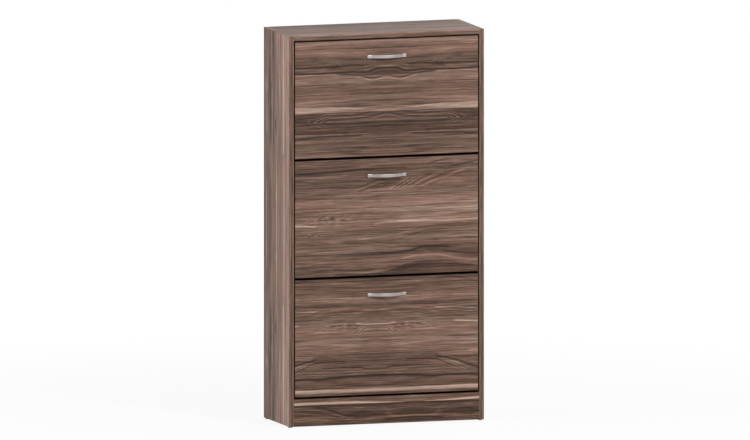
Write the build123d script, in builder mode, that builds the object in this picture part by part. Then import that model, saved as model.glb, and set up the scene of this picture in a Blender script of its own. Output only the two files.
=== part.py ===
from build123d import *
from math import cos, hypot, radians, sin
import os

os.makedirs("parts", exist_ok=True)

# A narrow shoe cabinet with three flaps that tilt out, one above the other.
# Sizes are in millimetres. X runs across the front, the front faces -Y and Z is up.
# The origin is on the floor, under the middle of the whole object's box.

# Carcass
cabinet_width = 620.0
carcass_depth = 250.0
side_height = 1192.0
board = 15.0
hardboard = 3.0
band = 1.0
band_round = 0.8
edge_round = 0.4
plinth_height = 83.0
plinth_setback = 1.5
rail_height = 70.0
groove_inset = 10.0
groove_depth = 6.0
groove_play = 0.1
back_end_play = 0.3

# Strip that joins the two halves of the back panel
strip_wall = 1.0
strip_height = 14.0
strip_play = 0.2

# Flaps
flap_board = 15.0
flap_setback = 1.0
side_gap = 3.0
top_gap = 3.5
swing_clearance = 2.6
open_angle = 42.0

# Handle
handle_reach = 22.0
handle_length = 124.0
handle_hole_spacing = 96.0
handle_width = 10.0
handle_wall = 4.5
handle_foot = 6.5
handle_foot_length = 20.0
handle_shoulder = 7.0
handle_drop = 52.0
handle_round = 1.0
handle_corner_round = 3.0

# Pivot of each flap, from the flap's front face and bottom edge
pivot_back = 22.0
pivot_rise = 60.0
pin_radius = 5.0
pin_seat = 11.0
pin_chamfer = 0.6
pin_running_play = 0.07
collar_radius = 9.0
collar_height = 1.2
hub_rim = 8.0
hub_depth = 8.0

# Stop pin in its curved slot
stop_pin_radius = 4.0
stop_play = 0.3
slot_rim = 2.2
stop_angle = 75.0
stop_margin = 9.0

# Cheeks, the plastic side plates that carry the shoe boards
cheek_play = 1.5
cheek_web = 2.5
cheek_rib = 2.0
cheek_rib_depth = 8.0
cheek_bottom_lift = 8.0
cheek_top_drop = 82.0
cheek_rear_drop = 97.0
cheek_shoulder = 37.0
cheek_bulge = 22.0
cheek_round = 8.0
rear_clearance = 13.0
flange_width = 14.0
flange_wall = 3.0
rear_step = 27.0
board_play = 0.2
board_end_play = 0.5
step_length = 12.0
middle_divider_rise = 197.0
rear_divider_rise = 122.0

# Screws, with the size of their cross recess
wood_screw_radius = 1.75
wood_screw_length = 12.0
wood_screw_head_radius = 3.5
wood_screw_head = 2.0
screw_hole_play = 0.2
machine_screw_radius = 2.0
machine_screw_grip = 5.0
machine_screw_head_radius = 4.0
machine_screw_head = 2.6
head_round = 1.2
recess_width = 0.8
recess_length = 3.8
recess_depth = 1.1
tap_play = 0.02
tap_end_play = 0.3
cheek_screw_count = 4
cheek_screw_end = 16.0

# Cam locks, their bolts and the wooden dowels
cam_radius = 7.4
cam_height = 12.0
cam_play = 0.1
cam_setback = 24.0
bolt_thread_radius = 2.5
bolt_thread_length = 10.5
bolt_shank_radius = 3.0
bolt_neck_radius = 2.0
bolt_neck_length = 4.0
bolt_head_radius = 3.5
bolt_head_length = 4.0
bolt_play = 0.25
dowel_radius = 4.0
dowel_length = 30.0
dowel_seat = 10.5
dowel_chamfer = 0.8
dowel_play = 0.05
hole_end_play = 0.5
joint_inset = 55.0
bottom_joint_inset = 40.0
dowel_pitch = 32.0
plinth_bolt_rise = 26.0

# Glides, nails and wall brackets
glide_height = 3.0
glide_radius = 7.0
glide_inset = 15.0
glide_round = 0.8
nail_radius = 0.8
nail_length = 15.0
nail_head_radius = 1.8
nail_head = 0.7
bottom_nail_count = 5
rail_nail_count = 3
nail_end_inset = 45.0
bracket_leg = 25.0
bracket_width = 20.0
bracket_wall = 2.0
bracket_bend = 2.0
bracket_spacing = 400.0
bracket_hole_radius = 2.75
bracket_hole_drop = 14.0
bracket_hole_play = 1.25
bracket_screw_pitch = 11.0
bracket_screw_inset = 12.0

# Places that follow from the sizes above
side_x = cabinet_width / 2
inner_x = side_x - board
top_z = glide_height + side_height
top_underside_z = top_z - board
plinth_top_z = glide_height + plinth_height
bottom_underside_z = plinth_top_z - board
back_y = (carcass_depth - flap_setback + handle_reach) / 2
front_y = back_y - carcass_depth
core_front_y = front_y + band
plinth_front_y = front_y + plinth_setback
plinth_back_y = plinth_front_y + board
flap_front_y = front_y + flap_setback
flap_back_y = flap_front_y + flap_board
groove_width = hardboard + 2 * groove_play
groove_back_y = back_y - groove_inset
groove_front_y = groove_back_y - groove_width
back_panel_front_y = groove_front_y + groove_play
back_panel_back_y = back_panel_front_y + hardboard
rail_front_y = back_panel_front_y - board

corner_dip = hypot(pivot_back, pivot_rise) - pivot_rise
flap_gap = corner_dip + swing_clearance
flap_names = ["lower", "middle", "upper"]
flap_count = len(flap_names)
flap_space = top_underside_z - top_gap - plinth_top_z
flap_height = flap_space / flap_count - flap_gap
flap_half_width = inner_x - side_gap
flap_bottoms = [plinth_top_z + flap_gap + i * (flap_height + flap_gap) for i in range(flap_count)]
pivot_y = flap_front_y + pivot_back
pivot_heights = [flap_bottom + pivot_rise for flap_bottom in flap_bottoms]

# Cheek outline and the boards in it, measured from the pivot: back along Y, then up
cheek_front = flap_back_y - pivot_y
cheek_back = rail_front_y - rear_clearance - pivot_y
cheek_low = cheek_bottom_lift - pivot_rise
cheek_high = flap_height - pivot_rise - cheek_top_drop
cheek_outer_x = inner_x - cheek_play
cheek_face_x = cheek_outer_x - cheek_web
board_half_length = cheek_face_x - board_end_play
channel = hardboard + 2 * board_play
rear_divider_front = cheek_back - cheek_rib - board_play - hardboard
divider_front = (cheek_front + rear_divider_front - hardboard) / 2
divider_back = divider_front + hardboard
front_shelf_low = cheek_low + cheek_rib + board_play
front_shelf_high = front_shelf_low + hardboard
rear_shelf_low = front_shelf_low + rear_step
rear_shelf_high = rear_shelf_low + hardboard
cheek_rear_low = cheek_low + rear_step
cheek_rear_high = cheek_high - cheek_rear_drop
divider_high = front_shelf_high + board_play + middle_divider_rise
rear_divider_high = rear_shelf_low + rear_divider_rise
flange_face = cheek_front + flange_wall
flange_screw_x = cheek_face_x - flange_width / 2
cheek_screw_pitch = (cheek_high - cheek_low - 2 * cheek_screw_end) / (cheek_screw_count - 1)
cheek_screw_rises = [
    cheek_low + cheek_screw_end + i * cheek_screw_pitch for i in range(cheek_screw_count)
]

slot_half_width = stop_pin_radius + stop_play
slot_low_angle = stop_angle - open_angle
slot_reach = divider_front - board_play - cheek_rib - slot_half_width - slot_rim - stop_margin
stop_radius = slot_reach / cos(radians(slot_low_angle))
stop_back = stop_radius * cos(radians(stop_angle))
stop_rise = stop_radius * sin(radians(stop_angle))
pin_end_x = cheek_outer_x - hub_depth - board_end_play

rail_heights = [flap_bottom - flap_gap / 2 for flap_bottom in flap_bottoms[1:]]
rail_mid_y = rail_front_y + board / 2
bottom_mid_z = plinth_top_z - board / 2
strip_z = (bottom_underside_z + top_underside_z) / 2
bracket_hole_z = top_underside_z - bracket_hole_drop
bracket_xs = [-bracket_spacing / 2, bracket_spacing / 2]

# Where the carcass boards meet a side panel, as (Y, Z): bolts first, then dowels
top_mid_z = top_z - board / 2
plinth_mid_y = plinth_front_y + board / 2
top_bolts = [(front_y + joint_inset, top_mid_z), (back_y - joint_inset, top_mid_z)]
top_dowels = [(top_bolts[0][0] + dowel_pitch, top_mid_z), (top_bolts[1][0] - dowel_pitch, top_mid_z)]
bottom_bolts = [
    (plinth_back_y + bottom_joint_inset, bottom_mid_z),
    (back_panel_front_y - bottom_joint_inset, bottom_mid_z),
]
bottom_dowels = [
    (bottom_bolts[0][0] + dowel_pitch, bottom_mid_z),
    (bottom_bolts[1][0] - dowel_pitch, bottom_mid_z),
]
rail_bolts = [(rail_mid_y, rail_z + dowel_pitch / 2) for rail_z in rail_heights]
rail_dowels = [(rail_mid_y, rail_z - dowel_pitch / 2) for rail_z in rail_heights]
plinth_bolts = [(plinth_mid_y, glide_height + plinth_bolt_rise)]
plinth_dowels = [(plinth_mid_y, glide_height + plinth_bolt_rise + dowel_pitch)]
all_bolts = top_bolts + bottom_bolts + rail_bolts + plinth_bolts
all_dowels = top_dowels + bottom_dowels + rail_dowels + plinth_dowels
pivot_sites = [(pivot_y, pivot_z) for pivot_z in pivot_heights]
stop_sites = [(pivot_y + stop_back, pivot_z + stop_rise) for pivot_z in pivot_heights]
glide_sites = [
    (side * (inner_x + board / 2), y)
    for side in (-1, 1)
    for y in (front_y + glide_inset, back_y - glide_inset)
]


def spread(count, half_length):
    """Gives evenly spaced places from -half_length to half_length."""
    return [half_length * (2 * i / (count - 1) - 1) for i in range(count)]


bottom_nail_xs = spread(bottom_nail_count, inner_x - nail_end_inset)
rail_nail_xs = spread(rail_nail_count, inner_x - nail_end_inset)
back_nails = [(x, bottom_mid_z) for x in bottom_nail_xs]
back_nails += [(x, rail_z) for rail_z in rail_heights for x in rail_nail_xs]


def save(part, name):
    part.label = name
    export_step(part, f"parts/{name}.step")


def drill(plane, centres, radius, depth):
    """Bores round holes into the part being built, from a plane along its normal."""
    with BuildSketch(plane) as holes:
        with Locations(*centres):
            Circle(radius)
    extrude(holes.sketch, amount=depth, mode=Mode.SUBTRACT)


def front_plane(y):
    """An upright plane across the cabinet, drawn on as (X, Z), with its normal to the front."""
    return Plane.XZ.offset(-y)


def drill_ends(bolts, dowels):
    """Bores the bolt and dowel holes into both ends of a board between the side panels."""
    bolt_depth = cam_setback + bolt_head_length / 2 + hole_end_play
    dowel_depth = dowel_length - dowel_seat + hole_end_play
    for side in (-1, 1):
        end_face = Plane.YZ.offset(side * inner_x)
        drill(end_face, bolts, bolt_head_radius + bolt_play, -side * bolt_depth)
        drill(end_face, dowels, dowel_radius + dowel_play, -side * dowel_depth)


# Side panels: chipboard with a groove for the back panel and blind holes for every fitting
def make_side_panel(side, name):
    inner_face = Plane.YZ.offset(side * inner_x)
    mid_x = side * (inner_x + board / 2)
    groove_top_z = top_underside_z + groove_depth
    with BuildPart() as side_panel:
        with BuildSketch(Plane.XY.offset(glide_height)):
            with Locations((mid_x, (core_front_y + back_y) / 2)):
                Rectangle(board, carcass_depth - band)
        extrude(amount=side_height)
        outer_face = side_panel.faces().sort_by(Axis.X)[-1 if side > 0 else 0]
        fillet(outer_face.edges().sort_by(Axis.Y)[1:], radius=edge_round)
        with BuildSketch(inner_face):
            with Locations(((groove_front_y + groove_back_y) / 2, (glide_height + groove_top_z) / 2)):
                Rectangle(groove_width, groove_top_z - glide_height)
        extrude(amount=side * groove_depth, mode=Mode.SUBTRACT)
        drill(inner_face, all_bolts, bolt_thread_radius, side * (bolt_thread_length + hole_end_play))
        drill(inner_face, all_dowels, dowel_radius + dowel_play, side * (dowel_seat + hole_end_play))
        drill(inner_face, pivot_sites, pin_radius, side * pin_seat)
        drill(inner_face, stop_sites, stop_pin_radius, side * pin_seat)
        own_glides = [site for site in glide_sites if site[0] * side > 0]
        drill(Plane.XY.offset(glide_height), own_glides, nail_radius, nail_length - glide_height)
    save(side_panel.part, name)


# Edge bands of the side panels: thin strips with rounded front corners
def make_side_edge_band(side, name):
    with BuildPart() as side_edge_band:
        with BuildSketch(Plane.XY.offset(glide_height)):
            with Locations((side * (inner_x + board / 2), front_y + band / 2)):
                Rectangle(board, band)
        extrude(amount=side_height)
        front_face = side_edge_band.faces().sort_by(Axis.Y)[0]
        fillet(front_face.edges(), radius=min(band_round, 0.9 * band))
    save(side_edge_band.part, name)


for side, hand in ((-1, "left"), (1, "right")):
    make_side_panel(side, f"side_panel_{hand}")
    make_side_edge_band(side, f"side_edge_band_{hand}")

# Top panel: between the sides, grooved for the back panel, with cam pockets underneath
top_cams = [(side * (inner_x - cam_setback), y) for side in (-1, 1) for y, z in top_bolts]
bracket_screws = [
    (x + offset, back_panel_front_y - bracket_screw_inset)
    for x in bracket_xs
    for offset in (-bracket_screw_pitch / 2, bracket_screw_pitch / 2)
]
with BuildPart() as top_panel:
    with BuildSketch(Plane.XY.offset(top_underside_z)):
        with Locations((0, (core_front_y + back_y) / 2)):
            Rectangle(2 * inner_x, carcass_depth - band)
    extrude(amount=board)
    with BuildSketch(Plane.XY.offset(top_underside_z)):
        with Locations((0, (groove_front_y + groove_back_y) / 2)):
            Rectangle(2 * inner_x, groove_width)
    extrude(amount=groove_depth, mode=Mode.SUBTRACT)
    drill(Plane.XY.offset(top_underside_z), top_cams, cam_radius + cam_play, cam_height + cam_play)
    drill_ends(top_bolts, top_dowels)
    drill(
        Plane.XY.offset(top_underside_z),
        bracket_screws,
        wood_screw_radius,
        wood_screw_length - bracket_wall,
    )
save(top_panel.part, "top_panel")

with BuildPart() as top_edge_band:
    with BuildSketch(Plane.XY.offset(top_underside_z)):
        with Locations((0, front_y + band / 2)):
            Rectangle(2 * inner_x, band)
    extrude(amount=board)
    top_band_face = top_edge_band.faces().sort_by(Axis.Y)[0]
    fillet(top_band_face.edges().filter_by(Axis.X), radius=min(band_round, 0.9 * band))
save(top_edge_band.part, "top_edge_band")

# Bottom panel: behind the plinth and level with its top, cam pockets underneath
bottom_cams = [(side * (inner_x - cam_setback), y) for side in (-1, 1) for y, z in bottom_bolts]
with BuildPart() as bottom_panel:
    with BuildSketch(Plane.XY.offset(bottom_underside_z)):
        with Locations((0, (plinth_back_y + back_panel_front_y) / 2)):
            Rectangle(2 * inner_x, back_panel_front_y - plinth_back_y)
    extrude(amount=board)
    drill(Plane.XY.offset(bottom_underside_z), bottom_cams, cam_radius + cam_play, cam_height + cam_play)
    drill_ends(bottom_bolts, bottom_dowels)
    bottom_nails = [(x, bottom_mid_z) for x in bottom_nail_xs]
    drill(front_plane(back_panel_front_y), bottom_nails, nail_radius, nail_length - hardboard)
save(bottom_panel.part, "bottom_panel")

# Plinth: closes the space below the lowest flap, its cam pockets at the back
plinth_cams = [(side * (inner_x - cam_setback), z) for side in (-1, 1) for y, z in plinth_bolts]
with BuildPart() as plinth_panel:
    with BuildSketch(Plane.XY.offset(glide_height)):
        with Locations((0, plinth_mid_y)):
            Rectangle(2 * inner_x, board)
    extrude(amount=plinth_height)
    fillet(plinth_panel.edges().filter_by(Axis.X).group_by(Axis.Y)[0], radius=edge_round)
    drill(front_plane(plinth_back_y), plinth_cams, cam_radius + cam_play, cam_height + cam_play)
    drill_ends(plinth_bolts, plinth_dowels)
save(plinth_panel.part, "plinth_panel")


# Cross rails: hold the sides apart behind the gaps between the flaps
def make_cross_rail(rail_z, bolt, dowel, name):
    cams = [(side * (inner_x - cam_setback), bolt[1]) for side in (-1, 1)]
    with BuildPart() as cross_rail:
        with BuildSketch(Plane.XY.offset(rail_z - rail_height / 2)):
            with Locations((0, rail_mid_y)):
                Rectangle(2 * inner_x, board)
        extrude(amount=rail_height)
        drill(front_plane(rail_front_y), cams, cam_radius + cam_play, -(cam_height + cam_play))
        drill_ends([bolt], [dowel])
        nails = [(x, rail_z) for x in rail_nail_xs]
        drill(front_plane(back_panel_front_y), nails, nail_radius, nail_length - hardboard)
    save(cross_rail.part, name)


for rail_z, bolt, dowel, level in zip(rail_heights, rail_bolts, rail_dowels, ("lower", "upper")):
    make_cross_rail(rail_z, bolt, dowel, f"cross_rail_{level}")


# Back panel: two hardboard sheets in the grooves, met by a strip half way up
def make_back_panel(low_z, high_z, name):
    with BuildPart() as back_panel:
        with BuildSketch(front_plane(back_panel_front_y)):
            with Locations((0, (low_z + high_z) / 2)):
                Rectangle(2 * (inner_x + groove_depth - back_end_play), high_z - low_z)
        extrude(amount=-hardboard)
        nails = [site for site in back_nails if low_z < site[1] < high_z]
        drill(front_plane(back_panel_front_y), nails, nail_radius, -hardboard)
        if low_z < bracket_hole_z < high_z:
            wall_holes = [(x, bracket_hole_z) for x in bracket_xs]
            hole_radius = bracket_hole_radius + bracket_hole_play
            drill(front_plane(back_panel_front_y), wall_holes, hole_radius, -hardboard)
    save(back_panel.part, name)


sheet_end = strip_wall / 2 + strip_play
make_back_panel(bottom_underside_z, strip_z - sheet_end, "back_panel_lower")
make_back_panel(strip_z + sheet_end, top_underside_z + groove_depth - back_end_play, "back_panel_upper")

with BuildPart() as back_joiner_strip:
    strip_channel = hardboard + 2 * strip_play
    with BuildSketch(Plane.YZ):
        with Locations(((back_panel_front_y + back_panel_back_y) / 2, strip_z)):
            Rectangle(strip_channel + 2 * strip_wall, strip_height)
            Rectangle(strip_channel, strip_height, mode=Mode.SUBTRACT)
            Rectangle(strip_channel, strip_wall)
    extrude(amount=inner_x - board_end_play, both=True)
save(back_joiner_strip.part, "back_joiner_strip")

# Cam locks: each mouth plane lies on the face that its pocket opens in, its normal into the board
cam_mouths = [Plane((x, y, top_underside_z), z_dir=(0, 0, 1)) for x, y in top_cams]
cam_mouths += [Plane((x, y, bottom_underside_z), z_dir=(0, 0, 1)) for x, y in bottom_cams]
cam_mouths += [Plane((x, plinth_back_y, z), x_dir=(1, 0, 0), z_dir=(0, -1, 0)) for x, z in plinth_cams]
cam_mouths += [
    Plane((side * (inner_x - cam_setback), rail_front_y, z), x_dir=(1, 0, 0), z_dir=(0, 1, 0))
    for side in (-1, 1)
    for y, z in rail_bolts
]
with BuildPart() as cam_locks:
    for mouth in cam_mouths:
        with BuildSketch(mouth):
            Circle(cam_radius)
        extrude(amount=cam_height)
        with BuildSketch(mouth):
            Rectangle(recess_length, recess_width)
            Rectangle(recess_width, recess_length)
        extrude(amount=recess_depth, mode=Mode.SUBTRACT)
    for side in (-1, 1):
        relief_start = Plane.YZ.offset(side * (inner_x - cam_setback + 2 * cam_radius))
        relief_depth = 2 * cam_radius + bolt_head_length / 2 + hole_end_play
        drill(relief_start, all_bolts, bolt_head_radius + bolt_play, -side * relief_depth)
save(cam_locks.part, "cam_locks")

# Cam bolts: threaded into the side panels, their heads held in the cams
bolt_head_end = cam_setback + bolt_head_length / 2
bolt_shank_length = bolt_head_end - bolt_head_length - bolt_neck_length
with BuildPart() as cam_bolts:
    for side in (-1, 1):
        for y, z in all_bolts:
            bolt_root = Plane((side * inner_x, y, z), z_dir=(-side, 0, 0))
            with BuildSketch(bolt_root):
                Circle(bolt_thread_radius)
            extrude(amount=-bolt_thread_length)
            with BuildSketch(bolt_root):
                Circle(bolt_shank_radius)
            extrude(amount=bolt_shank_length)
            with BuildSketch(bolt_root.offset(bolt_shank_length)):
                Circle(bolt_neck_radius)
            extrude(amount=bolt_neck_length)
            with BuildSketch(bolt_root.offset(bolt_head_end)):
                Circle(bolt_head_radius)
            extrude(amount=-bolt_head_length)
save(cam_bolts.part, "cam_bolts")

# Wooden dowels beside the cam bolts
with BuildPart() as wood_dowels:
    for side in (-1, 1):
        for y, z in all_dowels:
            with BuildSketch(Plane((side * (inner_x + dowel_seat), y, z), z_dir=(-side, 0, 0))):
                Circle(dowel_radius)
            extrude(amount=dowel_length)
    dowel_ends = wood_dowels.faces().filter_by(Axis.X)
    chamfer(dowel_ends.edges(), length=dowel_chamfer)
save(wood_dowels.part, "wood_dowels")


def cut_cross_recess(head_top):
    """Cuts a cross recess into the screw being built, from the plane on top of its head."""
    with BuildSketch(head_top) as recess:
        Rectangle(recess_length, recess_width)
        Rectangle(recess_width, recess_length)
    extrude(recess.sketch, amount=-recess_depth, mode=Mode.SUBTRACT)


# Pan-head screws: each seat plane lies under a head, its normal towards the head
def make_screws(seats, shank_radius, length, head_radius, head_height, name):
    with BuildPart() as screws:
        for seat in seats:
            with BuildSketch(Plane(seat.origin, x_dir=seat.x_dir, z_dir=-seat.y_dir)) as section:
                with BuildLine():
                    Polyline(
                        (0, -length),
                        (shank_radius, -length),
                        (shank_radius, 0),
                        (head_radius, 0),
                        (head_radius, head_height),
                        (0, head_height),
                        close=True,
                    )
                make_face()
                rim = section.vertices().group_by(Axis.Y)[-1].sort_by(Axis.X)[-1]
                fillet(rim, radius=min(head_round, 0.8 * head_height))
            revolve(axis=Axis(seat.origin, seat.z_dir))
            cut_cross_recess(seat.offset(head_height))
    save(screws.part, name)


# Floor glides: discs nailed under the side panels
with BuildPart() as floor_glides:
    with BuildSketch(Plane.XY):
        with Locations(*glide_sites):
            Circle(glide_radius)
    extrude(amount=glide_height)
    fillet(floor_glides.faces().group_by(Axis.Z)[0].edges(), radius=glide_round)
    drill(Plane.XY.offset(nail_head), glide_sites, nail_radius, glide_height)
    drill(Plane.XY, glide_sites, nail_head_radius, 2 * nail_head)
save(floor_glides.part, "floor_glides")

with BuildPart() as glide_nails:
    with BuildSketch(Plane.XY.offset(nail_head)):
        with Locations(*glide_sites):
            Circle(nail_head_radius)
    extrude(amount=nail_head)
    with BuildSketch(Plane.XY.offset(2 * nail_head)):
        with Locations(*glide_sites):
            Circle(nail_radius)
    extrude(amount=nail_length - 2 * nail_head)
save(glide_nails.part, "glide_nails")

with BuildPart() as back_panel_nails:
    with BuildSketch(front_plane(back_panel_back_y)):
        with Locations(*back_nails):
            Circle(nail_head_radius)
    extrude(amount=-nail_head)
    with BuildSketch(front_plane(back_panel_back_y)):
        with Locations(*back_nails):
            Circle(nail_radius)
    extrude(amount=nail_length)
save(back_panel_nails.part, "back_panel_nails")

# Wall brackets: steel angles under the top panel, for fixing the cabinet to a wall
with BuildPart() as wall_brackets:
    for x in bracket_xs:
        with BuildSketch(Plane.YZ.offset(x - bracket_width / 2)) as angle:
            with BuildLine():
                Polyline(
                    (back_panel_front_y, top_underside_z),
                    (back_panel_front_y, top_underside_z - bracket_leg),
                    (back_panel_front_y - bracket_wall, top_underside_z - bracket_leg),
                    (back_panel_front_y - bracket_wall, top_underside_z - bracket_wall),
                    (back_panel_front_y - bracket_leg, top_underside_z - bracket_wall),
                    (back_panel_front_y - bracket_leg, top_underside_z),
                    close=True,
                )
            make_face()
            outer_bend = angle.vertices().group_by(Axis.X)[-1].sort_by(Axis.Y)[-1]
            fillet(outer_bend, radius=bracket_bend)
        extrude(amount=bracket_width)
    wall_hole_centres = [(x, bracket_hole_z) for x in bracket_xs]
    drill(front_plane(back_panel_front_y), wall_hole_centres, bracket_hole_radius, bracket_wall)
    screw_hole_radius = wood_screw_radius + screw_hole_play
    drill(Plane.XY.offset(top_underside_z), bracket_screws, screw_hole_radius, -bracket_wall)
save(wall_brackets.part, "wall_brackets")

bracket_screw_seats = [
    Plane((x, y, top_underside_z - bracket_wall), x_dir=(1, 0, 0), z_dir=(0, 0, -1))
    for x, y in bracket_screws
]
make_screws(
    bracket_screw_seats,
    wood_screw_radius,
    wood_screw_length,
    wood_screw_head_radius,
    wood_screw_head,
    "wall_bracket_screws",
)

# Pivot pins: pressed into the sides, with a collar that keeps the cheek off the panel
with BuildPart() as pivot_pins:
    for side in (-1, 1):
        for y, z in pivot_sites:
            with BuildSketch(Plane((side * (inner_x + pin_seat), y, z), z_dir=(-side, 0, 0))):
                Circle(pin_radius)
            extrude(amount=inner_x + pin_seat - pin_end_x)
    chamfer(pivot_pins.faces().filter_by(Axis.X).edges(), length=pin_chamfer)
    for side in (-1, 1):
        for y, z in pivot_sites:
            with BuildSketch(Plane((side * inner_x, y, z), z_dir=(-side, 0, 0))):
                Circle(collar_radius)
            extrude(amount=min(collar_height, cheek_play - board_play))
save(pivot_pins.part, "pivot_pins")

# Stop pins: pressed into the sides, each in the curved slot of a cheek
with BuildPart() as stop_pins:
    for side in (-1, 1):
        for y, z in stop_sites:
            with BuildSketch(Plane((side * (inner_x + pin_seat), y, z), z_dir=(-side, 0, 0))):
                Circle(stop_pin_radius)
            extrude(amount=inner_x + pin_seat - pin_end_x)
    chamfer(stop_pins.faces().filter_by(Axis.X).edges(), length=pin_chamfer)
save(stop_pins.part, "stop_pins")


def cheek_plane(x, pivot_z):
    """A plane across a flap's pivot, drawn on as (back from the pivot, up from the pivot)."""
    return Plane((x, pivot_y, pivot_z), x_dir=(0, 1, 0), z_dir=(1, 0, 0))


def cheek_outline(plane, inset):
    """The cheek's side view: stepped underneath for the two shelves and arched on top."""
    shoulder = (cheek_front + cheek_shoulder, cheek_high)
    with BuildSketch(plane) as outline:
        with BuildLine():
            Polyline(
                shoulder,
                (cheek_front, cheek_high),
                (cheek_front, cheek_low),
                (divider_back + channel, cheek_low),
                (divider_back + channel + step_length, cheek_rear_low),
                (cheek_back, cheek_rear_low),
                (cheek_back, cheek_rear_high),
            )
            SagittaArc((cheek_back, cheek_rear_high), shoulder, -cheek_bulge)
        make_face()
        fillet(outline.vertices().sort_by(Axis.X)[2:], radius=cheek_round)
        if inset:
            offset(amount=-inset, mode=Mode.REPLACE)
    return outline.sketch


def span_rectangle(back_low, back_high, rise_low, rise_high, mode=Mode.ADD):
    with Locations(((back_low + back_high) / 2, (rise_low + rise_high) / 2)):
        Rectangle(back_high - back_low, rise_high - rise_low, mode=mode)


# Cheeks: plastic trays with channels for the boards, a hub, a stop slot and a screw flange
def make_cheek(side, pivot_z, name):
    outer_plane = cheek_plane(side * cheek_outer_x, pivot_z)
    face_plane = cheek_plane(side * cheek_face_x, pivot_z)
    stop_arc = CenterArc((0, 0), stop_radius, slot_low_angle, open_angle)
    with BuildPart() as cheek:
        extrude(cheek_outline(outer_plane, 0), amount=-side * (cheek_web + cheek_rib_depth))
        pocket = cheek_outline(face_plane, cheek_rib)
        extrude(pocket, amount=-side * cheek_rib_depth, mode=Mode.SUBTRACT)
        with BuildSketch(face_plane):
            low = cheek_low + cheek_rib / 2
            rear_low = cheek_rear_low + cheek_rib / 2
            span_rectangle(
                divider_front - board_play - cheek_rib, divider_front - board_play, low, divider_high
            )
            span_rectangle(
                divider_back + board_play, divider_back + board_play + cheek_rib, low, divider_high
            )
            rear_rib = rear_divider_front - board_play
            span_rectangle(rear_rib - cheek_rib, rear_rib, rear_low, rear_divider_high)
            front_rib = front_shelf_high + board_play
            span_rectangle(flange_face, divider_front - board_play, front_rib, front_rib + cheek_rib)
            back_rib = rear_shelf_high + board_play
            span_rectangle(divider_back + board_play, rear_rib, back_rib, back_rib + cheek_rib)
        extrude(amount=-side * cheek_rib_depth)
        with BuildSketch(face_plane):
            channel_low = front_shelf_low - board_play
            rear_channel_low = rear_shelf_low - board_play
            span_rectangle(flange_face, divider_back + board_play, channel_low, channel_low + channel)
            span_rectangle(
                divider_front - board_play, divider_back + board_play, channel_low, divider_high
            )
            span_rectangle(
                divider_back + board_play, rear_rib, rear_channel_low, rear_channel_low + channel
            )
            span_rectangle(rear_rib, rear_rib + channel, rear_channel_low, rear_divider_high)
        extrude(amount=-side * cheek_rib_depth, mode=Mode.SUBTRACT)
        with BuildSketch(face_plane):
            span_rectangle(cheek_front, flange_face, cheek_low, cheek_high)
        extrude(amount=-side * flange_width)
        with BuildSketch(outer_plane):
            Circle(pin_radius + hub_rim)
            SlotArc(stop_arc, 2 * (slot_half_width + slot_rim))
            span_rectangle(cheek_front, cheek_back, cheek_low, cheek_high, mode=Mode.INTERSECT)
        extrude(amount=-side * hub_depth)
        with BuildSketch(outer_plane):
            Circle(pin_radius + pin_running_play)
            SlotArc(stop_arc, 2 * slot_half_width)
        extrude(amount=-side * (cheek_outer_x - pin_end_x + board_end_play), mode=Mode.SUBTRACT)
        holes = [(side * flange_screw_x, pivot_z + rise) for rise in cheek_screw_rises]
        drill(front_plane(flap_back_y), holes, wood_screw_radius + screw_hole_play, -flange_wall)
    save(cheek.part, name)


def make_shoe_board(back_low, back_high, rise_low, rise_high, pivot_z, name):
    with BuildPart() as shoe_board:
        with BuildSketch(cheek_plane(0, pivot_z)):
            span_rectangle(back_low, back_high, rise_low, rise_high)
        extrude(amount=board_half_length, both=True)
    save(shoe_board.part, name)


# Bow handle: two flat feet and an arched strap, screwed on from behind the flap
def make_handle(handle_z, name):
    half_length = handle_length / 2
    foot_inner = half_length - handle_foot_length
    arch_foot = half_length - handle_foot_length + handle_shoulder
    face_y = flap_front_y
    foot_y = flap_front_y - handle_foot
    with BuildPart() as handle:
        with BuildSketch(Plane.XY.offset(handle_z - handle_width / 2)) as strap:
            with BuildLine():
                Polyline(
                    (-arch_foot, foot_y), (-half_length, foot_y),
                    (-half_length, face_y), (-foot_inner, face_y),
                )
                ThreePointArc(
                    (-foot_inner, face_y), (0, face_y - handle_reach + handle_wall), (foot_inner, face_y)
                )
                Polyline(
                    (foot_inner, face_y), (half_length, face_y),
                    (half_length, foot_y), (arch_foot, foot_y),
                )
                ThreePointArc((arch_foot, foot_y), (0, face_y - handle_reach), (-arch_foot, foot_y))
            make_face()
            corners = strap.vertices().filter_by(lambda corner: corner.Y < foot_y + handle_foot / 2)
            fillet(corners, radius=handle_corner_round)
        extrude(amount=handle_width)
        rims = handle.edges().group_by(Axis.Z)
        fillet(rims[0] + rims[-1], radius=handle_round)
        tapped = [(x, handle_z) for x in (-handle_hole_spacing / 2, handle_hole_spacing / 2)]
        tapped_depth = machine_screw_grip + tap_end_play
        drill(front_plane(face_y), tapped, machine_screw_radius + tap_play, tapped_depth)
    save(handle.part, name)


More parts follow.
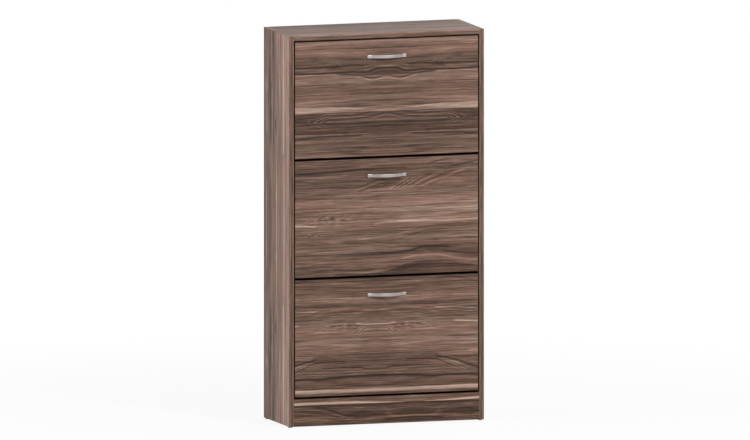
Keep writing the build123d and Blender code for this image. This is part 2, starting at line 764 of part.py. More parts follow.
def make_flap(level, flap_bottom):
    pivot_z = flap_bottom + pivot_rise
    mid_z = flap_bottom + flap_height / 2
    handle_z = flap_bottom + flap_height - handle_drop
    handle_sites = [(x, handle_z) for x in (-handle_hole_spacing / 2, handle_hole_spacing / 2)]
    cheek_sites = [
        (side * flange_screw_x, pivot_z + rise) for side in (-1, 1) for rise in cheek_screw_rises
    ]
    pilot_depth = wood_screw_length - flange_wall

    with BuildPart() as flap_panel:
        with BuildSketch(front_plane(flap_front_y)):
            with Locations((0, mid_z)):
                Rectangle(2 * (flap_half_width - band), flap_height - 2 * band)
        extrude(amount=-flap_board)
        hole_radius = machine_screw_radius + screw_hole_play
        drill(front_plane(flap_front_y), handle_sites, hole_radius, -flap_board)
        drill(front_plane(flap_back_y), cheek_sites, wood_screw_radius, pilot_depth)
    save(flap_panel.part, f"{level}_flap_panel")

    with BuildPart() as flap_edge_band:
        with BuildSketch(front_plane(flap_front_y)):
            with Locations((0, mid_z)):
                Rectangle(2 * flap_half_width, flap_height)
        extrude(amount=-flap_board)
        outer_edges = flap_edge_band.edges().filter_by(Axis.Y, reverse=True)
        fillet(outer_edges, radius=min(band_round, 0.9 * band))
        with BuildSketch(front_plane(flap_front_y)):
            with Locations((0, mid_z)):
                Rectangle(2 * (flap_half_width - band), flap_height - 2 * band)
        extrude(amount=-flap_board, mode=Mode.SUBTRACT)
    save(flap_edge_band.part, f"{level}_flap_edge_band")

    make_handle(handle_z, f"{level}_flap_handle")
    handle_seats = [
        Plane((x, flap_back_y, z), x_dir=(1, 0, 0), z_dir=(0, 1, 0)) for x, z in handle_sites
    ]
    make_screws(
        handle_seats,
        machine_screw_radius,
        flap_board + machine_screw_grip,
        machine_screw_head_radius,
        machine_screw_head,
        f"{level}_flap_handle_screws",
    )

    make_cheek(-1, pivot_z, f"{level}_flap_cheek_left")
    make_cheek(1, pivot_z, f"{level}_flap_cheek_right")
    cheek_seats = [
        Plane((x, flap_back_y + flange_wall, z), x_dir=(1, 0, 0), z_dir=(0, 1, 0))
        for x, z in cheek_sites
    ]
    make_screws(
        cheek_seats,
        wood_screw_radius,
        wood_screw_length,
        wood_screw_head_radius,
        wood_screw_head,
        f"{level}_flap_cheek_screws",
    )

    shelf_front = flange_face + board_play
    divider_low = front_shelf_high + board_play
    rear_shelf_front = divider_back + board_play
    rear_divider_back = rear_divider_front + hardboard
    rear_shelf_back = rear_divider_front - board_play
    boards = {
        "middle_divider": (divider_front, divider_back, divider_low, divider_high),
        "rear_divider": (rear_divider_front, rear_divider_back, rear_shelf_low, rear_divider_high),
        "front_shelf": (shelf_front, divider_back, front_shelf_low, front_shelf_high),
        "rear_shelf": (rear_shelf_front, rear_shelf_back, rear_shelf_low, rear_shelf_high),
    }
    for kind, sizes in boards.items():
        make_shoe_board(*sizes, pivot_z, f"{level}_flap_{kind}")


for level, flap_bottom in zip(flap_names, flap_bottoms):
    make_flap(level, flap_bottom)
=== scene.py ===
import math
import bpy
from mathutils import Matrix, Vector


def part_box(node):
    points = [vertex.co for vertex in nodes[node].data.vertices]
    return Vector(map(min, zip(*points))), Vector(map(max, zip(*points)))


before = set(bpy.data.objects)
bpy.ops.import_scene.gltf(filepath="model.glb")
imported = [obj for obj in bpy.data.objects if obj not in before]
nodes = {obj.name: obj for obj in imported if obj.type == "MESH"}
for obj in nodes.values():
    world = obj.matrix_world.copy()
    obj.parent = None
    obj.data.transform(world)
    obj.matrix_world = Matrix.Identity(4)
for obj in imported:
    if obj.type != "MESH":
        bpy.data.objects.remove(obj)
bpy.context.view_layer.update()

levels = ("lower", "middle", "upper")


class Wire:
    # one output socket of a node; sums written with it become Math nodes
    def __init__(self, tree, socket=None):
        self.tree, self.socket = tree, socket

    def add(self, nodeType, settings=None, inputs=None, output=0):
        # any node: its settings first, then values or links for its sockets
        node = self.tree.nodes.new(nodeType)
        for name, value in (settings or {}).items():
            if name == "stops":
                stops = node.color_ramp.elements
                for place, colour in value[1:-1]:
                    stops.new(place).color = colour
                for stop, (place, colour) in ((stops[0], value[0]), (stops[-1], value[-1])):
                    stop.position, stop.color = place, colour
            elif name == "curve":
                node.color_ramp.interpolation = value
            else:
                setattr(node, name, value)
        for name, value in (inputs or {}).items():
            if isinstance(value, Wire):
                self.tree.links.new(value.socket, node.inputs[name])
            else:
                node.inputs[name].default_value = value
        return Wire(self.tree, node.outputs[output])

    def math(self, operation, *values):
        return self.add("ShaderNodeMath", {"operation": operation}, dict(enumerate(values)))

    def __add__(self, other):
        return self.math("ADD", self, other)

    __radd__ = __add__

    def __sub__(self, other):
        return self.math("SUBTRACT", self, other)

    def __rsub__(self, other):
        return self.math("SUBTRACT", other, self)

    def __mul__(self, other):
        return self.math("MULTIPLY", self, other)

    __rmul__ = __mul__

    def __truediv__(self, other):
        return self.math("DIVIDE", self, other)

    def __rtruediv__(self, other):
        return self.math("DIVIDE", other, self)

    def __abs__(self):
        return self.math("ABSOLUTE", self)

    def larger(self, other):
        return self.math("MAXIMUM", self, other)

    def over(self, other):
        return self.math("GREATER_THAN", self, other)

    def step(self, low, high):
        # 0 below low, 1 above high, smooth between
        settings = {"interpolation_type": "SMOOTHSTEP"}
        return self.add("ShaderNodeMapRange", settings, {"Value": self, "From Min": low, "From Max": high})

    def blend(self, other, factor):
        return self + (other - self) * factor

    def mixColour(self, other, factor):
        return self.add("ShaderNodeMix", {"data_type": "RGBA"}, {0: factor, 6: self, 7: other}, output=2)

    def ramp(self, stops, curve="LINEAR", output="Color"):
        return self.add("ShaderNodeValToRGB", {"stops": stops, "curve": curve}, {"Fac": self}, output)


def newMaterial(name):
    # a material with one Principled shader; gives the material, its shader and a wire to build from
    material = bpy.data.materials.new(name)
    material.use_nodes = True
    tree = material.node_tree
    return material, tree.nodes["Principled BSDF"], Wire(tree)


def plug(wire, shader, name):
    wire.tree.links.new(wire.socket, shader.inputs[name])


def bumpFrom(start, height, finish, shader):
    settings = {"Strength": finish["bump"], "Distance": finish["bumpDepth"], "Height": height}
    plug(start.add("ShaderNodeBump", None, settings), shader, "Normal")


def split(vector):
    # the three parts of a vector, each on a wire of its own
    parts = vector.add("ShaderNodeSeparateXYZ", None, {0: vector}).socket.node
    return [Wire(vector.tree, parts.outputs[axis]) for axis in range(3)]


def objectPlace(start):
    # the three object coordinates, in metres
    return split(start.add("ShaderNodeTexCoord", None, None, output="Object"))


def faceNormal(start):
    return split(start.add("ShaderNodeTexCoord", None, None, output="Normal"))


def noise(start, x, y, z, detail=2.0, rough=0.5):
    vector = start.add("ShaderNodeCombineXYZ", None, {0: x, 1: y, 2: z})
    inputs = {"Vector": vector, "Scale": 1.0, "Detail": detail, "Roughness": rough}
    return start.add("ShaderNodeTexNoise", None, inputs)


def evenNoise(start, place, size, detail=2.0):
    # noise of the same size in all directions
    return noise(start, place[0] * size, place[1] * size, place[2] * size, detail)


def grainNoise(start, along, across, size, depth, detail=2.0, rough=0.5):
    # noise with one size along the grain and another across it
    return noise(start, along * size[0], across * size[1], depth, detail, rough)


def spot(along, across, middle, size):
    # a soft ellipse, 1 at its middle
    sideways = (along - middle[0]) / size[0]
    upright = (across - middle[1]) / size[1]
    away = sideways * sideways + upright * upright
    return away.math("EXPONENT", 0.0 - away)


def fillSurface(shader, start, fine, broad, finish):
    # a plain material's colour, roughness and bump from a fine noise and a broad one
    low, high = finish["colourRange"]
    tone = fine * finish["fineShare"] + broad * finish["broadShare"]
    rough = fine * finish["fineRough"] + broad * finish["broadRough"] + finish["roughness"]
    plug(tone.ramp([(low, finish["dark"]), (high, finish["pale"])]), shader, "Base Color")
    plug(rough, shader, "Roughness")
    bumpFrom(start, fine, finish, shader)


print("helpers ready")

# painted shade: the flap edge bands are coloured near black so that the gaps between the flaps look dark
gapShadeBandFinish = {
    "dark": (0.008, 0.005, 0.004, 1), "pale": (0.018, 0.011, 0.009, 1), "colourRange": (0.35, 0.65),
    "grainSize": (30.0, 900.0), "grainDetail": 3.0, "fineShare": 0.6, "patchSize": 8.0, "broadShare": 0.4,
    "roughness": 0.4, "fineRough": 0.2, "broadRough": 0.0, "bump": 0.2, "bumpDepth": 0.0001, "specular": 0.2,
}


def gapShadeBandMaterial(name):
    # dark brown banding with a fine pressed grain; its near-black colour is painted shade, so the flap edges
    # seen through the gaps look shadowed
    finish = gapShadeBandFinish
    material, shader, start = newMaterial(name)
    x, y, z = objectPlace(start)
    lengthwise, crosswise = finish["grainSize"]
    grain = noise(start, x * lengthwise, (y + z) * lengthwise, (y + z) * crosswise, finish["grainDetail"])
    fillSurface(shader, start, grain, evenNoise(start, (x, y, z), finish["patchSize"]), finish)
    shader.inputs["Specular IOR Level"].default_value = finish["specular"]
    return material


woodColours = [
    (0.18, (0.02, 0.0096, 0.0054, 1)),
    (0.3, (0.056, 0.026, 0.0145, 1)),
    (0.4, (0.115, 0.0615, 0.041, 1)),
    (0.45, (0.154, 0.0845, 0.058, 1)),
    (0.51, (0.206, 0.1108, 0.0805, 1)),
    (0.59, (0.292, 0.1695, 0.127, 1)),
    (0.67, (0.385, 0.243, 0.186, 1)),
    (0.8, (0.56, 0.404, 0.323, 1)),
]
woodGreys = [
    (0.18, (0.018, 0.0115, 0.0073, 1)),
    (0.3, (0.053, 0.0317, 0.02, 1)),
    (0.4, (0.108, 0.071, 0.05, 1)),
    (0.45, (0.148, 0.097, 0.071, 1)),
    (0.51, (0.198, 0.1295, 0.098, 1)),
    (0.59, (0.28, 0.1915, 0.149, 1)),
    (0.67, (0.37, 0.264, 0.208, 1)),
    (0.8, (0.545, 0.437, 0.358, 1)),
]
woodFinish = {
    "lines": [(0.32, 4.5, 150.0), (0.50, 13.0, 380.0), (0.26, 40.0, 1000.0)], "lineDetail": (3.0, 0.6),
    "darkLine": 0.1, "darkLineRange": (0.57, 0.66), "paleLine": 0.06, "paleLineRange": (0.6, 0.7),
    "cloud": 0.12, "poreDepth": 0.05, "poreRange": (0.6, 0.72), "grey": 0.6, "greyRange": (0.38, 0.66),
    "depthSize": 40.0, "sway": 0.012, "waver": 0.004, "drawnWaver": 0.0025,
    "roughness": 0.44, "fibreRough": 0.1, "poreRough": 0.12, "rawRough": 0.4,
    "gloss": 0.3, "ior": 1.45, "fibreBump": 0.6, "bump": 0.22, "bumpDepth": 0.0002,
}

pathScale = 2.5  # drawn heights times this stay within a ramp's 0 to 1
lineFade = 0.008  # a drawn line fades over this length at its ends
softBell = 0.3679  # to the power of a squared distance: 1 at a line's middle, fading to both sides
rampStops = 32  # the most that one ramp holds


def toneRamp(level, tones):
    # a long run of tones takes two ramps that meet at a shared stop
    if len(tones) <= rampStops:
        return level.ramp([(place, (tone, tone, tone, 1)) for place, tone in tones])
    middle = len(tones) // 2
    shades = []
    for run in (tones[:middle + 1], tones[middle:]):
        first, last = run[0][0], run[-1][0]
        stops = [((place - first) / (last - first), (tone, tone, tone, 1)) for place, tone in run]
        shades.append(((level - first) / (last - first)).ramp(stops))
    return shades[0].blend(shades[1], level.over(tones[middle][0]))


def bend(level, along, across, figures):
    # bends the run of the grain: push arches it, spread opens or pinches it
    for figure in figures:
        mask = spot(along, across, figure["at"], figure["size"])
        if "push" in figure:
            level = level + mask * figure["push"]
        if "spread" in figure:
            level = level + mask * (across - figure["at"][1]) * figure["spread"]
    return level


def pathHeight(along, points):
    # how far a drawn line lies across the board at each place along it, kept in the ramp's alpha,
    # which is a plain number and so takes little room in a large material
    first, last = points[0][0], points[-1][0]
    place = along.add("ShaderNodeMapRange", None, {"Value": along, "From Min": first, "From Max": last})
    stops = [((x - first) / (last - first), (1, 1, 1, y * pathScale)) for x, y in points]
    return place.ramp(stops, "CARDINAL", "Alpha")


def between(along, points):
    # 1 over the length of a drawn line, fading at its ends
    middle, half = (points[-1][0] + points[0][0]) / 2, (points[-1][0] - points[0][0]) / 2
    return abs(along - middle).step(half + lineFade, half - lineFade)


def drawnFigures(along, across, tone, decor):
    # drawn lines, each with its strength and thickness, and areas between two such lines
    scaled = across * pathScale
    for strength, thick, points in decor.get("drawn", []):
        away = (scaled - pathHeight(along, points)) / (thick * pathScale)
        line = away.math("POWER", softBell, away * away)
        tone = tone.math("MULTIPLY_ADD", line * between(along, points), strength, tone)
    for strength, soft, top, bottom in decor.get("patches", []):
        edge = soft * pathScale
        below = (scaled - pathHeight(along, top)).step(-edge, edge)
        above = (scaled - pathHeight(along, bottom)).step(edge, -edge)
        tone = tone.math("MULTIPLY_ADD", below * above * between(along, top), strength, tone)
    return tone


patternNoises = {  # size along the grain and across it, what is added to the seed, detail
    "sway": ((3.6, 9.0), 0.0, 1.0), "waver": ((15.0, 45.0), 3.1, 2.0), "cloud": ((5.0, 20.0), 1.3, 2.0),
    "darkLine": ((6.0, 230.0), 11.0, 2.0), "paleLine": ((9.0, 300.0), 12.0, 2.0),
    "pore": ((75.0, 2300.0), 5.0, 1.0), "grey": ((2.3, 60.0), 9.0, 3.0),
    "ringShift": ((30.0, 60.0), 14.0, 1.0),
    "curlWave": ((80.0, 70.0), 23.0, 1.0), "curl": ((55.0, 340.0), 24.0, 1.0),
}


def patternNoise(start, along, across, decor, kind):
    size, seedStep, detail = patternNoises[kind]
    return grainNoise(start, along, across, size, decor["seed"] + seedStep, detail)


chevronFinish = {"fade": (0.9, 1.5), "lead": (-0.02, 0.01), "shift": 0.5}


def chevrons(start, along, across, tone, decor):
    # pointed rings round the end of a long oval
    finish = chevronFinish
    for nest in decor.get("nests", []):
        x, z = nest["at"]
        wide, tall = nest["size"]
        before, after = finish["lead"]
        ring = (along - x).larger(0.0) / wide + abs(across - z) / tall
        mask = (1.0 - ring.step(*finish["fade"])) * along.step(x + before, x + after)
        shift = patternNoise(start, along, across, decor, "ringShift")
        wave = ring.math("SINE", (ring * nest["rings"] + shift * finish["shift"]) * math.tau)
        tone = tone + wave * mask * nest["tone"]
    return tone


streakFinish = {"lengthwise": 7.0, "crosswise": 1.6, "seedStep": 21.0, "detail": 1.0, "strength": 4.0}
curlFinish = {"wave": 0.01, "strength": 4.0}


def localLines(start, along, across, tone, decor):
    # slanted streaks and fine curls, each within its own soft ellipse
    finish = streakFinish
    depth = decor["seed"] + finish["seedStep"]
    for streak in decor.get("streaks", []):
        run = across - (along - streak["at"][0]) * streak["slope"]
        size = (finish["lengthwise"], finish["crosswise"] / streak["pitch"])
        lines = grainNoise(start, along, run, size, depth, finish["detail"]) - 0.5
        place = spot(along, across, streak["at"], streak["size"])
        tone = tone + lines * place * (streak["tone"] * finish["strength"])
    for strength, middle, size in decor.get("curls", []):
        wave = patternNoise(start, along, across, decor, "curlWave") - 0.5
        lines = patternNoise(start, along, across + wave * curlFinish["wave"], decor, "curl") - 0.5
        tone = tone + lines * spot(along, across, middle, size) * (strength * curlFinish["strength"])
    return tone


def woodGrain(start, along, across, depth, decor):
    # printed wood at a place: runs of tone across the board, bent by its figures, with fine lines
    finish = woodFinish
    if decor.get("bookMatched"):
        along = abs(along)
    sway = patternNoise(start, along, across, decor, "sway") - 0.5
    waver = patternNoise(start, along, across, decor, "waver") - 0.5
    level = across + sway * decor.get("sway", finish["sway"]) + waver * finish["waver"]
    level = bend(level, along, across, decor.get("figures", []))
    height = level / decor["width"]
    tone = toneRamp(height, decor["tones"])
    if "sideTones" in decor:
        tone = tone.blend(toneRamp(height, decor["sideTones"]), along.step(*decor["sideFrom"]))
    steady = across + waver * finish["drawnWaver"]
    tone = drawnFigures(along, steady, tone, decor)
    tone = chevrons(start, along, steady, tone, decor)
    tone = localLines(start, along, across, tone, decor)
    for amount, lengthwise, crosswise in finish["lines"]:
        size = (lengthwise * decor.get("stretch", 1.0), crosswise)
        fibre = grainNoise(start, along, level, size, depth + decor["seed"], *finish["lineDetail"]) - 0.5
        tone = tone + fibre * (amount * decor.get("lines", 1.0))
    dark = patternNoise(start, along, level, decor, "darkLine").step(*finish["darkLineRange"])
    pale = patternNoise(start, along, level, decor, "paleLine").step(*finish["paleLineRange"])
    tone = tone - dark * finish["darkLine"] + pale * finish["paleLine"] + decor.get("lift", 0.0)
    cloud = patternNoise(start, along, level, decor, "cloud") - 0.5
    tone = tone + cloud * finish["cloud"]
    for strength, middle, size in decor.get("stains", []):
        tone = tone + spot(along, across, middle, size) * strength
    pore = patternNoise(start, along, level, decor, "pore").step(*finish["poreRange"])
    tone = tone - pore * finish["poreDepth"]
    greying = patternNoise(start, along, level, decor, "grey").step(*finish["greyRange"])
    greying = greying * decor.get("grey", finish["grey"]) + decor.get("greyBase", 0.0)
    for red, middle, size in decor.get("blushes", []):
        greying = greying - spot(along, across, middle, size) * red
    colour = tone.ramp(woodColours).mixColour(tone.ramp(woodGreys), greying)
    return colour, pore, fibre


chipboardFinish = {
    "flakeSize": 700.0, "flakeShare": 0.7, "speckSize": 900.0, "speckShare": 0.5,
    "colours": [
        (0.15, (0.16, 0.095, 0.05, 1)), (0.55, (0.36, 0.25, 0.15, 1)), (0.95, (0.56, 0.43, 0.29, 1)),
    ],
}


def chipboard(start, place):
    # raw particle board, as on the edges that carry no band
    finish = chipboardFinish
    vector = start.add("ShaderNodeCombineXYZ", None, dict(enumerate(place)))
    inputs = {"Vector": vector, "Scale": finish["flakeSize"], "Randomness": 1.0}
    flakes = start.add("ShaderNodeTexVoronoi", None, inputs, output="Color")
    tone = start.add("ShaderNodeSeparateColor", None, {0: flakes})
    speckle = evenNoise(start, place, finish["speckSize"])
    return (tone * finish["flakeShare"] + speckle * finish["speckShare"]).ramp(finish["colours"])


facingShare = 0.7  # a face looks along an axis if that part of its normal is larger than this
skinThickness = 0.0003


def woodMaterial(name, decor):
    material, shader, start = newMaterial(name)
    finish = woodFinish
    place = objectPlace(start)
    alongAxis, acrossAxis, depthAxis = decor["axes"]
    along = place[alongAxis] - decor["middle"] - decor.get("matchAt", 0.0)
    across = (place[acrossAxis] - decor["from"]) * decor["towards"]
    colour, pore, fibre = woodGrain(start, along, across, place[depthAxis] * finish["depthSize"], decor)
    if "endBand" in decor:
        # the strip on the board's upper end, with its grain from front to back
        strip = decor["endBand"]
        along, across = place[1] - strip["middle"], (place[0] - strip["from"]) * strip["towards"]
        ended = woodGrain(start, along, across, place[2] * finish["depthSize"], strip)[0]
        colour = colour.mixColour(ended, faceNormal(start)[2].over(facingShare))
    rough = fibre * finish["fibreRough"] + pore * finish["poreRough"] + finish["roughness"]
    if "rawFaces" in decor:
        normal = faceNormal(start)
        raw = None
        for axis, sign in decor["rawFaces"]:
            facing = (normal[axis] * sign).over(facingShare)
            raw = facing if raw is None else raw.larger(facing)
        for axis, low, high in decor["skins"]:
            # the thin printed skins on both faces stay dark at a raw edge
            fromMiddle = abs(place[axis] - (low + high) / 2)
            raw = raw * ((high - low) / 2 - fromMiddle).over(skinThickness)
        colour = colour.mixColour(chipboard(start, place), raw)
        rough = rough + raw * finish["rawRough"]
    plug(colour, shader, "Base Color")
    plug(rough, shader, "Roughness")
    bumpFrom(start, fibre * finish["fibreBump"] - pore, finish, shader)
    shader.inputs["IOR"].default_value = finish["ior"]
    shader.inputs["Specular IOR Level"].default_value = decor.get("gloss", finish["gloss"])
    return material


def paint(name, material):
    # gives a CAD node its finish
    mesh = nodes[name].data
    mesh.materials.clear()
    mesh.materials.append(material)


# lengths are in metres, along the grain and across it from the edge where the tones start; a tone has
# its place as a share of the board's width; stains, curls and blushes give strength, middle and size, drawn
# lines strength, thickness and points, and patches strength, softness and the lines above and below
upperDecor = {
    "seed": 2.0, "bookMatched": True, "lines": 1.06, "stretch": 0.75, "sway": 0.004,
    "tones": [
        (0.0, 0.52), (0.035, 0.53), (0.055, 0.5), (0.09, 0.505), (0.125, 0.5), (0.155, 0.43), (0.18, 0.4),
        (0.205, 0.385), (0.235, 0.39), (0.255, 0.39), (0.278, 0.37), (0.287, 0.465), (0.32, 0.49),
        (0.35, 0.505), (0.385, 0.46), (0.41, 0.475), (0.44, 0.435), (0.47, 0.455), (0.515, 0.51),
        (0.54, 0.51), (0.565, 0.52), (0.61, 0.51), (0.617, 0.37), (0.68, 0.36), (0.71, 0.35), (0.74, 0.355),
        (0.8, 0.36), (0.825, 0.41), (0.86, 0.43), (0.89, 0.425), (0.94, 0.4), (0.97, 0.44), (1.0, 0.5),
    ],
    "nests": [{"at": (0.192, 0.247), "size": (0.05, 0.02), "rings": 2.6, "tone": 0.1}],
    "curls": [
        (0.22, (0.168, 0.071), (0.026, 0.01)),
        (0.2, (0.063, 0.082), (0.016, 0.012)),
        (0.16, (0.235, 0.25), (0.024, 0.012)),
    ],
    "stains": [
        (-0.11, (0.23, 0.055), (0.016, 0.006)),
        (-0.055, (0.23, 0.245), (0.08, 0.022)),
        (-0.045, (0.0, 0.02), (0.08, 0.02)),
        (0.03, (0.28, 0.02), (0.05, 0.02)),
        (-0.09, (0.158, 0.08), (0.022, 0.004)),
        (0.06, (0.145, 0.066), (0.025, 0.005)),
        (-0.05, (0.0, 0.064), (0.075, 0.01)),
        (-0.07, (0.0, 0.162), (0.05, 0.009)),
        (-0.04, (0.075, 0.195), (0.05, 0.007)),
        (-0.07, (0.0, 0.214), (0.08, 0.006)),
        (0.04, (0.28, 0.19), (0.08, 0.009)),
        (-0.05, (0.0, 0.298), (0.055, 0.022)),
    ],
    "patches": [
        (-0.045, 0.0026, [(-0.05, 0.088), (0.045, 0.093), (0.06, 0.098), (0.13, 0.101)],
         [(-0.05, 0.113), (0.01, 0.113), (0.045, 0.1195), (0.08, 0.111), (0.13, 0.104)]),
        (-0.05, 0.002, [(-0.05, 0.187), (0.13, 0.188), (0.19, 0.194), (0.23, 0.201)],
         [(-0.05, 0.2095), (0.1, 0.204), (0.17, 0.2015), (0.23, 0.2025)]),
        (0.13, 0.001, [(-0.05, 0.2125), (0.05, 0.2105), (0.1, 0.2065), (0.15, 0.203), (0.2, 0.2015),
         (0.33, 0.2005)],
         [(-0.05, 0.2192), (0.14, 0.219), (0.33, 0.2192)]),
    ],
    "drawn": [
        (-0.13, 0.0018, [(-0.05, 0.0258), (0.1, 0.0255), (0.2, 0.024), (0.33, 0.0262)]),
        (0.06, 0.0016, [(-0.05, 0.031), (0.07, 0.0312)]),
        (-0.05, 0.0012, [(0.2, 0.038), (0.27, 0.0385)]),
        (-0.24, 0.0022, [(0.07, 0.078), (0.11, 0.0755), (0.15, 0.079), (0.2, 0.0803), (0.33, 0.079)]),
        (0.12, 0.003, [(0.19, 0.087), (0.25, 0.0875), (0.33, 0.085)]),
        (-0.24, 0.0022, [(0.1, 0.096), (0.15, 0.098), (0.25, 0.0975), (0.33, 0.094)]),
        (0.15, 0.002, [(0.15, 0.1035), (0.2, 0.103), (0.33, 0.104)]),
        (0.13, 0.0018, [(-0.05, 0.0822), (0.02, 0.0825), (0.045, 0.086), (0.058, 0.091)]),
        (-0.2, 0.0022, [(-0.05, 0.0878), (0.03, 0.089), (0.045, 0.093), (0.057, 0.098), (0.1, 0.0975)]),
        (0.06, 0.002, [(-0.05, 0.093), (0.03, 0.0945), (0.05, 0.101), (0.07, 0.1025)]),
        (-0.09, 0.0016, [(-0.05, 0.0985), (0.02, 0.099), (0.045, 0.107), (0.07, 0.104)]),
        (-0.13, 0.0026, [(-0.05, 0.1115), (0.01, 0.1125), (0.045, 0.1185), (0.08, 0.11), (0.11, 0.106),
         (0.16, 0.101)]),
        (0.13, 0.0022, [(-0.05, 0.117), (0.01, 0.1175), (0.045, 0.124), (0.065, 0.119), (0.095, 0.113)]),
        (-0.07, 0.0022, [(0.09, 0.133), (0.15, 0.1345)]),
        (-0.05, 0.0026, [(0.06, 0.1405), (0.14, 0.139), (0.22, 0.1415)]),
        (0.06, 0.002, [(-0.05, 0.181), (0.1, 0.1812), (0.16, 0.185)]),
        (-0.08, 0.0015, [(-0.05, 0.1865), (0.14, 0.187), (0.18, 0.191), (0.21, 0.197), (0.25, 0.201)]),
        (-0.13, 0.0018, [(-0.05, 0.224), (0.01, 0.226), (0.035, 0.232), (0.06, 0.2355), (0.1, 0.24),
         (0.19, 0.2413)]),
        (0.11, 0.0016, [(0.01, 0.234), (0.04, 0.2375), (0.08, 0.233), (0.12, 0.235), (0.18, 0.2362)]),
        (-0.13, 0.002, [(0.05, 0.2215), (0.09, 0.227), (0.17, 0.2305)]),
        (0.12, 0.0024, [(-0.05, 0.243), (0.06, 0.2465), (0.19, 0.2475)]),
        (0.08, 0.0014, [(0.1, 0.2215), (0.19, 0.2265), (0.235, 0.2345), (0.25, 0.242)]),
        (0.08, 0.0014, [(0.1, 0.229), (0.18, 0.232), (0.215, 0.2385), (0.226, 0.244)]),
        (0.075, 0.0014, [(0.08, 0.268), (0.19, 0.265), (0.235, 0.257), (0.25, 0.249)]),
        (0.07, 0.0014, [(0.1, 0.261), (0.18, 0.259), (0.215, 0.2525), (0.226, 0.247)]),
        (-0.11, 0.0026, [(-0.05, 0.251), (0.03, 0.2535), (0.1, 0.2555), (0.19, 0.2545)]),
        (-0.1, 0.0018, [(-0.05, 0.264), (0.08, 0.2655), (0.13, 0.265)]),
        (0.05, 0.0018, [(0.15, 0.27), (0.22, 0.2702)]),
        (-0.11, 0.0028, [(0.12, 0.281), (0.2, 0.2795), (0.33, 0.281)]),
        (0.14, 0.0022, [(0.14, 0.2862), (0.25, 0.2866), (0.33, 0.286)]),
        (-0.17, 0.0022, [(0.08, 0.291), (0.14, 0.292), (0.235, 0.292), (0.26, 0.297), (0.33, 0.299)]),
        (-0.07, 0.0024, [(0.16, 0.31), (0.2, 0.3115), (0.24, 0.3095)]),
        (-0.06, 0.002, [(0.1, 0.339), (0.2, 0.34), (0.33, 0.337)]),
    ],
}

